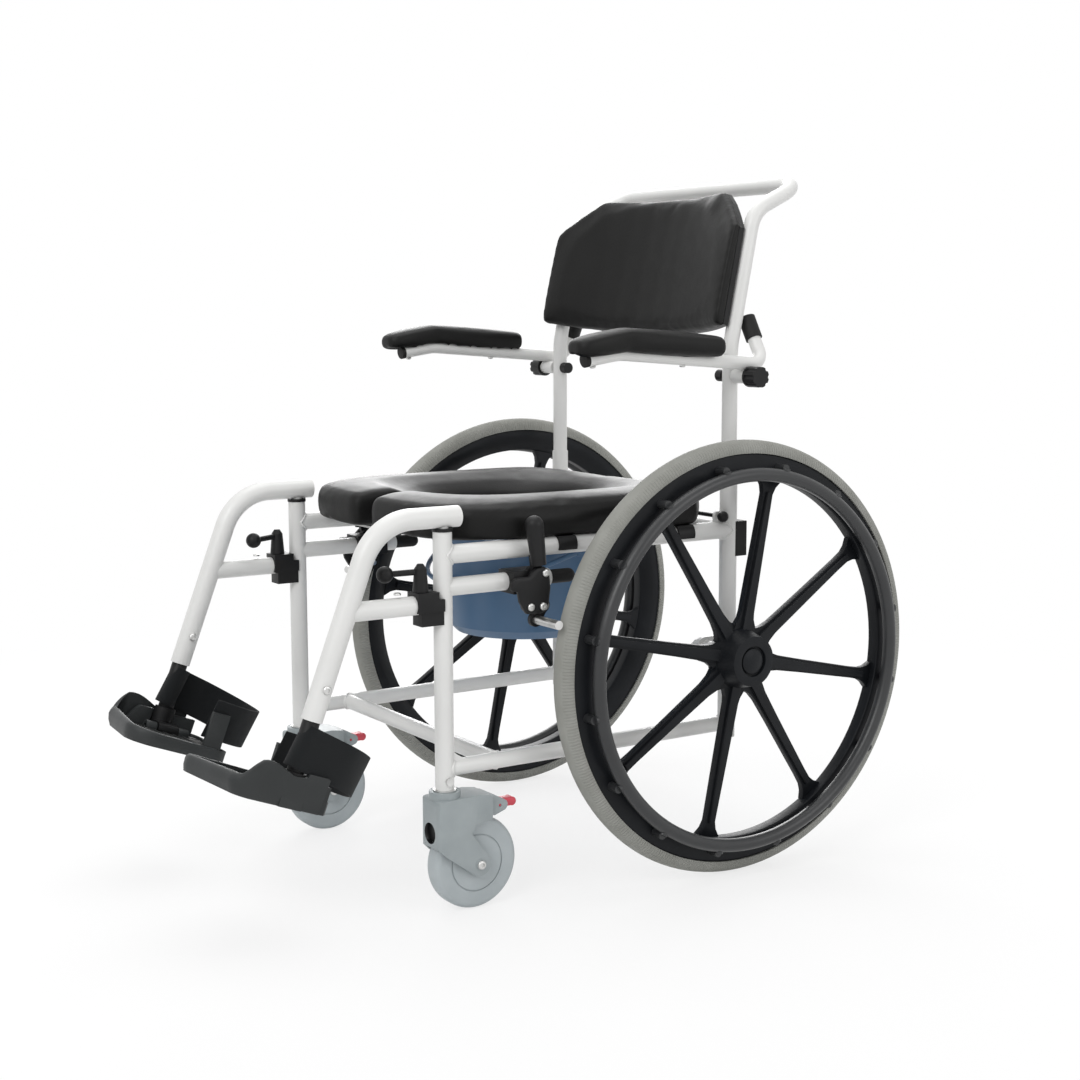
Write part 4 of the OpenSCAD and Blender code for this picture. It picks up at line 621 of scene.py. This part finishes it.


# Casters: grey nylon forks with a hood over a grey wheel, and a red brake pedal behind each hood.
# Each fork's axle is a steel bolt, and the round recess in the hood's brow is painted black inside as painted
# shade.
caster_grey, tree, shader, coords = surface("grey_nylon", (0.31, 0.345, 0.355), 0.42)
tint(tree, shader, noise(tree, coords, 24), (0.285, 0.32, 0.33), (0.335, 0.37, 0.38))
polish(tree, shader, noise(tree, coords, 90), 0.36, 0.5)
relief(tree, shader, noise(tree, coords, 1300, 2), 0.00015, 0.3)
caster_rubber, tree, shader, coords = surface("grey_rubber", (0.41, 0.45, 0.465), 0.55)
tint(tree, shader, noise(tree, coords, 30), (0.385, 0.425, 0.44), (0.435, 0.475, 0.49))
polish(tree, shader, noise(tree, coords, 110), 0.5, 0.64)
pedal_red, tree, shader, coords = surface("red_nylon", (0.6, 0.055, 0.085), 0.36)
tint(tree, shader, noise(tree, coords, 40), (0.55, 0.045, 0.07), (0.65, 0.07, 0.1))
polish(tree, shader, noise(tree, coords, 200), 0.3, 0.44)
roll = Vector(joints["caster_roll_left"]["pos_m"])
recess_up, recess_r, recess_depth = 0.047, 0.0142, 0.0065
brow_round, brow_skin, recess_slack, caster_bolt_r = 0.011, 0.0008, 0.0004, 0.0062
for hand, out in hands:
    fork = rounded(
        f"caster_fork_{hand}", f"caster_hood_{hand}", f"caster_{hand}", width=0.0022
    )
    fork_low, fork_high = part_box(f"caster_fork_{hand}")
    brow_y = fork_low.y
    bpy.ops.object.select_all(action="DESELECT")
    bpy.ops.mesh.primitive_cube_add(size=1)
    mould = bpy.context.object
    margin = Vector((0.002, 0.0002, 0.002))
    set_points(mould, points_of(mould) * (fork_high - fork_low + 2 * margin) + (fork_high + fork_low) / 2)
    bpy.ops.object.mode_set(mode="EDIT")
    bpy.ops.mesh.select_mode(type="EDGE")
    bpy.ops.mesh.select_all(action="DESELECT")
    bpy.ops.object.mode_set(mode="OBJECT")
    for line in mould.data.edges:
        ends = [mould.data.vertices[end].co for end in line.vertices]
        line.select = max(end.y for end in ends) < brow_y and abs(ends[0].x - ends[1].x) < margin.x
    bpy.ops.object.mode_set(mode="EDIT")
    bpy.ops.mesh.bevel(offset=brow_round + margin.x, segments=8, affect="EDGES")
    bpy.ops.object.mode_set(mode="OBJECT")
    bpy.ops.object.select_all(action="DESELECT")
    bpy.ops.mesh.primitive_cylinder_add(
        vertices=40, radius=recess_r, depth=2 * recess_depth, rotation=(math.pi / 2, 0, 0),
        location=(out * half_w, brow_y, roll.z + recess_up),
    )
    drill = bpy.context.object
    pick(fork)
    for tool, work in ((mould, "INTERSECT"), (drill, "DIFFERENCE")):
        cut = fork.modifiers.new("cut", "BOOLEAN")
        cut.operation = work
        cut.object = tool
        bpy.ops.object.modifier_apply(modifier=cut.name)
        bpy.data.objects.remove(tool)
    shade(32)
    paint(caster_grey, fork.name)
    # The recess's inside faces take black plastic as painted shade, the shade inside the hole.
    fork.data.materials.append(moulded_black)
    for face in fork.data.polygons:
        at = face.center
        off = math.hypot(at.x - out * half_w, at.z - roll.z - recess_up)
        behind = at.y - brow_y
        if off < recess_r + recess_slack and brow_skin < behind < recess_depth + recess_slack:
            face.material_index = 1
    paint(caster_rubber, f"caster_wheel_{hand}")
    pedal = rounded(
        f"caster_pedal_{hand}", f"brake_pedal_{hand}", f"pedal_{hand}", width=0.0016
    )
    paint(pedal_red, pedal.name)
    for end, side in ((1, "out"), (-1, "in")):
        place = ((fork_high if end * out > 0 else fork_low).x, roll.y, roll.z)
        bolt(f"caster_bolt_{hand}_{side}", place, (end * out, 0, 0), caster_bolt_r, f"caster_{hand}")


# Brakes: a black moulded clamp on each brake rail, a black lever, and a plated shoe bar
# that presses on the tyre. A cover over the linkage is held by three bolts.
clamps = rounded("brake_brackets", "brake_clamps", "frame", width=0.0018)
paint(moulded_black, clamps.name)
lever_pivot = Vector(joints["brake_lever_left"]["pos_m"])
cover_gap, cover_t, cover_rim, cover_swell = 0.0084, 0.006, 0.0042, 0.0012
cover_outline = (
    (-0.040, 0.0022), (-0.034, 0.0028), (-0.0185, 0.0028), (-0.0125, 0.0084), (-0.007, 0.0138),
    (0.004, 0.0150), (0.012, 0.010), (0.0145, -0.014), (0.012, -0.033), (0.006, -0.045), (-0.005, -0.048),
    (-0.023, -0.046), (-0.033, -0.030), (-0.036, -0.016), (-0.0455, -0.0135), (-0.0455, -0.003),
)
cover_bolt_r, cover_bolts = 0.0052, ((-0.0175, -0.037), (0.0015, -0.0375), (0.0055, 0.0065))
cover_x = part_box("brake_brackets")[1].x + cover_gap


def face_outwards():
    """Turns all faces of the piece that is being edited outwards, and leaves edit mode."""
    bpy.ops.mesh.select_all(action="SELECT")
    bpy.ops.mesh.normals_make_consistent(inside=False)
    bpy.ops.object.mode_set(mode="OBJECT")


for hand, out in hands:
    bpy.ops.object.select_all(action="DESELECT")
    bpy.ops.mesh.primitive_circle_add(vertices=len(cover_outline), radius=1, fill_type="NGON")
    cover = bpy.context.object
    cover.name = f"brake_cover_{hand}"
    set_points(cover, [(out * cover_x, lever_pivot.y + y, lever_pivot.z + z) for y, z in cover_outline])
    edit_all()
    bpy.ops.mesh.extrude_region_move(TRANSFORM_OT_translate={"value": (out * cover_t, 0, 0)})
    bpy.ops.mesh.inset(thickness=cover_rim)
    bpy.ops.transform.translate(value=(out * cover_swell, 0, 0))
    face_outwards()
    round_edges(cover, 0.0011, segments=3, angle=14)
    shade(30)
    paint(moulded_black, cover.name, f"brake_lever_{hand}")
    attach(cover, "frame")
    for number, (back_by, up_by) in enumerate(cover_bolts, 1):
        place = (out * (cover_x + cover_t + cover_swell), lever_pivot.y + back_by, lever_pivot.z + up_by)
        bolt(f"cover_bolt_{hand}_{number}", place, (out, 0, 0), cover_bolt_r, "frame")
    shoe = nodes[f"brake_shoe_{hand}"]
    shoe.data.materials.append(moulded_black)
    for face in shoe.data.polygons:
        face.material_index = int(abs(face.center.x) < cover_x)


# Footrest feet: the foot tube goes into a black moulded socket that carries the footplate's hinge.
# The latch is a black clamp on the post, with a column and a knobbed arm that turns it free.
collar_r, collar_l, collar_up, collar_edge = 0.01125, 0.07, 0.064, 0.00025
socket_up = 0.0302
for hand, out in hands:
    foot = nodes[f"foot_tube_{hand}"]
    paint(white_paint, foot.name)
    foot.data.materials.append(moulded_black)
    for face in foot.data.polygons:
        face.material_index = int((face.center - hinge).dot(-hanger_way) < socket_up)
    bpy.ops.object.select_all(action="DESELECT")
    bpy.ops.mesh.primitive_cylinder_add(vertices=48, radius=collar_r, depth=collar_l)
    collar = bpy.context.object
    collar.name = f"foot_collar_{hand}"
    select_faces(collar, lambda at, way: abs(way.z) > 0.9)
    bpy.ops.mesh.bevel(offset=collar_edge, segments=2, affect="EDGES")
    bpy.ops.object.mode_set(mode="OBJECT")
    upwards = (-hanger_way).to_track_quat("Z", "Y").to_matrix().to_4x4()
    place = Vector((out * half_w, hinge.y, hinge.z)) - hanger_way * collar_up
    collar.data.transform(Matrix.Translation(place) @ upwards)
    shade(30)
    paint(moulded_black, collar.name)
    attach(collar, f"hanger_{hand}")
    block = rounded(
        f"latch_block_{hand}", f"latch_clamp_{hand}", f"hanger_{hand}", width=0.0022
    )
    paint(moulded_black, block.name, f"latch_lever_{hand}")


# Footplates: dark grey glass-filled nylon. A ribbed tread, painted black as the shade that the wall casts on
# it, lies inside a moulded wall that is low and round-lipped at the toes, arches beside the shoe and stands
# up as a bracket behind the foot tube.
plate_nylon, tree, shader, coords = surface("dark_grey_nylon", (0.022, 0.0245, 0.025), 0.46)
shader.inputs["Specular IOR Level"].default_value = 0.34
tint(tree, shader, noise(tree, coords, 20), (0.018, 0.0205, 0.021), (0.027, 0.0295, 0.03))
polish(tree, shader, noise(tree, coords, 80), 0.42, 0.56)
relief(tree, shader, cells(tree, coords, 900), 0.0003, 0.35)
# Across the plate, u runs inwards from the foot tube and v towards the toes; heights are over the hinge.
hinge_in = 0.024
plate_low, plate_high = -0.014, 0.002
side_u, corner_r, corner_v = -0.010, 0.022, 0.054
toe_r, toe_u, toe_v, toe_turn = 0.033, 0.107, 0.059, 96
heel_v, inner_heel_v = -0.042, -0.031
socket_half, socket_ends = 0.0165, (-0.0175, 0.0175)
# Between these heights, and this far in from the foot tube, the tread is painted black as painted shade
shaded_tread_low, shaded_tread_high, shaded_tread_in = plate_low + 0.009, plate_high - 0.0004, 0.0005
# Along the side, from the heel to the corner: the place, and the wall's height.
side_rise = np.array((
    (-0.042, 0.032), (-0.039, 0.0335), (-0.012, 0.0335), (-0.0105, 0.0285), (0.004, 0.0265), (0.010, 0.0272),
    (0.017, 0.0303), (0.030, 0.0356), (0.040, 0.038), (0.048, 0.0382), (0.054, 0.0368),
))
# Round the corner to the toes: the turn in degrees, the wall's height, and the width and height of its lip.
corner_rise = np.array((
    (180, 0.0368, 0.003, 0.003), (165, 0.0295, 0.003, 0.003), (150, 0.0205, 0.0032, 0.0034),
    (138, 0.014, 0.0045, 0.0065), (120, 0.0125, 0.0075, 0.010), (96, 0.0125, 0.009, 0.011),
))
# The wall's measures at the ends of its runs: its height, how far its foot and its brow stand out, its lip's
# width and height, and how far its inner face stands out above and below the tread.
side_wall = np.array((0.0368, 0.004, 0.0085, 0.003, 0.003, 0.0042, -0.003))
toe_wall = np.array((0.0125, 0.0005, 0.0065, 0.009, 0.011, -0.004, -0.006))
tip_wall = np.array((0.009, 0.0005, 0.003, 0.0055, 0.0075, -0.004, -0.006))
inner_wall = np.array((0.0055, 0.0005, 0.002, 0.004, 0.0055, -0.004, -0.006))
heel_wall = np.array((0.003, 0.0005, 0.0008, 0.004, 0.003, -0.004, -0.006))
bracket_lip, bracket_in = 0.0014, 0.0056
# The section's small steps: under the plate, round its foot, at its waist, under its lip and under the tread.
wall_under, foot_in, foot_round, foot_high = 0.0004, 0.0025, (0.0008, 0.0007), 0.0024
waist_out, lip_drop, tread_drop = 0.0006, 0.0003, 0.001


def heading(turn):
    """The direction at a turn in degrees, counted from inwards to the toes."""
    return np.array((math.cos(math.radians(turn)), math.sin(math.radians(turn))))


def wall_stations():
    """Along the wall, from the heel round the toes: its foot, the way it faces, and its measures."""
    made = []
    for v in np.unique(np.concatenate([side_rise[:, 0], np.linspace(heel_v, corner_v, 34), socket_ends])):
        measures = side_wall.copy()
        measures[0] = np.interp(v, *side_rise.T)
        if v < socket_half:
            measures[3:6] = bracket_lip, bracket_lip, bracket_in
        if abs(v) < socket_half:
            measures[6] = bracket_in
        made.append(((side_u, v), (-1, 0), measures))
    turns, *rises = corner_rise[::-1].T
    for turn in np.linspace(180, toe_turn, 20)[1:]:
        way = heading(turn)
        measures = side_wall + (toe_wall - side_wall) * (180 - turn) / (180 - toe_turn)
        measures[[0, 3, 4]] = [np.interp(turn, turns, rise) for rise in rises]
        made.append(((side_u + corner_r * (1 + way[0]), corner_v + corner_r * way[1]), way, measures))
    toe_middle, way = np.array((toe_u, toe_v)), heading(toe_turn)
    first, last = np.array(made[-1][0]), toe_middle + toe_r * way
    for share in np.linspace(0, 1, 9)[1:]:
        made.append((first + (last - first) * share, way, toe_wall + (tip_wall - toe_wall) * share))
    for turn in np.linspace(toe_turn, 0, 16)[1:]:
        way = heading(turn)
        measures = tip_wall + (inner_wall - tip_wall) * (1 - turn / toe_turn)
        made.append((toe_middle + toe_r * way, way, measures))
    for v in np.linspace(toe_v, inner_heel_v, 8)[1:]:
        measures = inner_wall + (heel_wall - inner_wall) * (toe_v - v) / (toe_v - inner_heel_v)
        made.append(((toe_u + toe_r, v), (1, 0), measures))
    return made


def wall_profile(measures):
    """The wall's closed section as pairs: outwards from the plate's edge, and up."""
    high, foot, brow, lip_w, lip_h, inner_high, inner_low = measures
    low, shelf = plate_low - wall_under, min(plate_high, high) - tread_drop
    under = [(inner_low, low), (foot - foot_in, low), (foot - foot_round[0], low + foot_round[1])]
    outer = [(foot, low + foot_high), ((foot + brow) / 2 + waist_out, (low + high - lip_h) / 2)]
    lip = [
        (brow - lip_w + lip_w * math.cos(a), high - lip_h + lip_h * math.sin(a))
        for a in np.radians((0, 18, 36, 54, 72, 90))
    ]
    inner = [(inner_high, high - lip_drop), (inner_high, shelf), (inner_low, shelf)]
    return under + outer + lip + inner


def hinge_of(out):
    """The middle of a footplate's hinge."""
    return np.array((out * (abs(hinge.x) + hinge_in), hinge.y, hinge.z))


stations = wall_stations()
sections = [wall_profile(measures) for *_, measures in stations]
ring = len(sections[0])
up, toe = -np.array(hanger_way), np.array((0, hanger_way.z, -hanger_way.y))
# The solid's skirt is cut off just above the plate's bottom plane.
cut_z = plate_low + 0.00004
for hand, out in hands:
    start = hinge_of(out)
    plate = rounded(
        f"footplate_{hand}", f"foot_rest_{hand}", f"footplate_{hand}", width=0.0014
    )
    edit_all()
    bpy.ops.mesh.bisect(plane_co=start + up * cut_z, plane_no=up, use_fill=True, clear_inner=True)
    face_outwards()
    shade(32)
    paint(plate_nylon, plate.name)
    # The tread's upward faces take black rubber: painted shade, standing for the shade that the wall casts on
    # the tread.
    plate.data.materials.append(black_rubber)
    for face in plate.data.polygons:
        at = np.array(face.center) - start
        tread_in_painted_shade = shaded_tread_low < at.dot(up) < shaded_tread_high and -out * at[0] > shaded_tread_in
        face.material_index = int(tread_in_painted_shade and np.array(face.normal).dot(up) > 0.5)
    bpy.ops.object.select_all(action="DESELECT")
    bpy.ops.mesh.primitive_grid_add(x_subdivisions=len(stations) - 1, y_subdivisions=ring, size=2)
    wall = bpy.context.object
    wall.name = f"foot_wall_{hand}"
    placed = []
    for corner in range(ring + 1):
        for (foot, way, _), section in zip(stations, sections):
            outwards, rise = section[corner % ring]
            u, v = foot[0] + way[0] * outwards, foot[1] + way[1] * outwards
            placed.append(start + np.array((-out * u, 0, 0)) + toe * v + up * rise)
    set_points(wall, placed)
    edit_all()
    bpy.ops.mesh.remove_doubles(threshold=merge_within)
    bpy.ops.mesh.fill_holes(sides=0)
    face_outwards()
    shade(34)
    paint(plate_nylon, wall.name)
    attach(wall, f"footplate_{hand}")


# Pan: a blue polypropylene bucket with a thin bail, moulded in one colour.
pan_blue, tree, shader, coords = surface("blue_polypropylene", (0.061, 0.135, 0.248), 0.36)
tint(tree, shader, noise(tree, coords, 8), (0.053, 0.122, 0.226), (0.069, 0.149, 0.268))
polish(tree, shader, noise(tree, coords, 60), 0.3, 0.44)
paint(pan_blue, "pan", "pan_bail")


# Heel straps: woven nylon webbing from a loop round each foot tube, behind the heel and forward to the
# footplate's inner tab. Each is one band, bound at its edges and closed with hook and loop.
webbing, tree, shader, coords = surface("black_webbing", (0.007, 0.0085, 0.0095), 0.85)
shader.inputs["Sheen Weight"].default_value = 0.08
shader.inputs["Specular IOR Level"].default_value = 0.25
weave_place = tree.nodes.new("ShaderNodeUVMap")
threads = tree.nodes.new("ShaderNodeSeparateXYZ")
tree.links.new(weave_place.outputs["UV"], threads.inputs[0])
warp, weft = (
    maths(tree, "SINE", maths(tree, "MULTIPLY", threads.outputs[along], count * math.pi))
    for along, count in ((0, 420), (1, 64))
)
crossing = maths(tree, "MULTIPLY", warp, weft)
tint(tree, shader, crossing, (0.0045, 0.0055, 0.0064), (0.0115, 0.0138, 0.0155), 0.0, 1.0)
relief(tree, shader, crossing, 0.0005, 0.6)

strap_w, strap_t, strap_up, strap_fall = 0.056, 0.0025, 0.062, math.radians(10)
# The share of the solid's thickness that keeps the band within it
strap_snug = 0.94
# How far the inner run sinks to its tab, and how late
strap_sink, sink_power = 0.018, 1.5
# The free part's ripple: where it starts behind the tube, how soon it is full, its height and its pace
ripple_back, ripple_run, strap_ripple_h, ripple_pace = 0.03, 0.05, 0.0012, 95
# The ends of the stretch over which the band passes from its hanger to its footplate, inwards from the tube
tube_loop_r, loop_start, strap_reach, strap_inner, strap_tip = 0.01265, -70, 0.1107, 0.105, -0.022
back_start, loop_points, back_points = -0.004, 26, 13
bow_r = (strap_inner + tube_loop_r) / 2
bow_u, bow_v = strap_inner - bow_r, bow_r - strap_reach


def strap_route():
    """The band's middle line across the foot tube: inwards from the tube, and towards the toes."""
    loop = [tube_loop_r * heading(turn) for turn in np.linspace(loop_start, 180, loop_points)]
    back = [(-tube_loop_r, v) for v in np.linspace(back_start, bow_v, back_points + 1)[:-1]]
    bow = [np.array((bow_u, bow_v)) + bow_r * heading(turn) for turn in np.linspace(180, 360, 40)]
    ahead = [(strap_inner, v) for v in np.linspace(bow_v, strap_tip, 12)[1:]]
    return np.array(loop + back + bow + ahead)


route = strap_route()
steps = np.concatenate([[0], np.cumsum(np.linalg.norm(np.diff(route, axis=0), axis=1))])
bow_start = steps[loop_points + back_points]
for hand, out in hands:
    bpy.ops.object.select_all(action="DESELECT")
    bpy.ops.mesh.primitive_grid_add(x_subdivisions=160, y_subdivisions=12, size=2, calc_uvs=True)
    band = bpy.context.object
    band.name = f"heel_band_{hand}"
    found = points_of(band)
    at = (found[:, 0] + 1) / 2 * steps[-1]
    u, v = np.interp(at, steps, route[:, 0]), np.interp(at, steps, route[:, 1])
    free = np.clip((-v - ripple_back) / ripple_run, 0, 1)
    w = found[:, 1] * strap_w / 2
    u = u + strap_ripple_h * free * np.sin(at * ripple_pace) * found[:, 1]
    fall_v, fall_w = math.cos(strap_fall), math.sin(strap_fall)
    v, w = v * fall_v - w * fall_w, v * fall_w + w * fall_v
    inner_run = np.clip((at - bow_start) / (steps[-1] - bow_start), 0, 1)
    w = w + strap_up - strap_sink * inner_run**sink_power
    start = hinge_of(out)
    set_points(band, start + np.outer(-out * u, (1, 0, 0)) + np.outer(v, toe) + np.outer(w, up))
    thick = band.modifiers.new("thick", "SOLIDIFY")
    thick.thickness = strap_t * strap_snug
    thick.offset = 0
    bpy.ops.object.modifier_apply(modifier=thick.name)
    round_edges(band, 0.0007, segments=2, angle=60)
    edit_all()
    face_outwards()
    shade(40)
    paint(webbing, band.name)
    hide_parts(f"heel_strap_{hand}")
    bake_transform(band)

# The button head was only the pattern for its copies.
bpy.data.objects.remove(button_head)
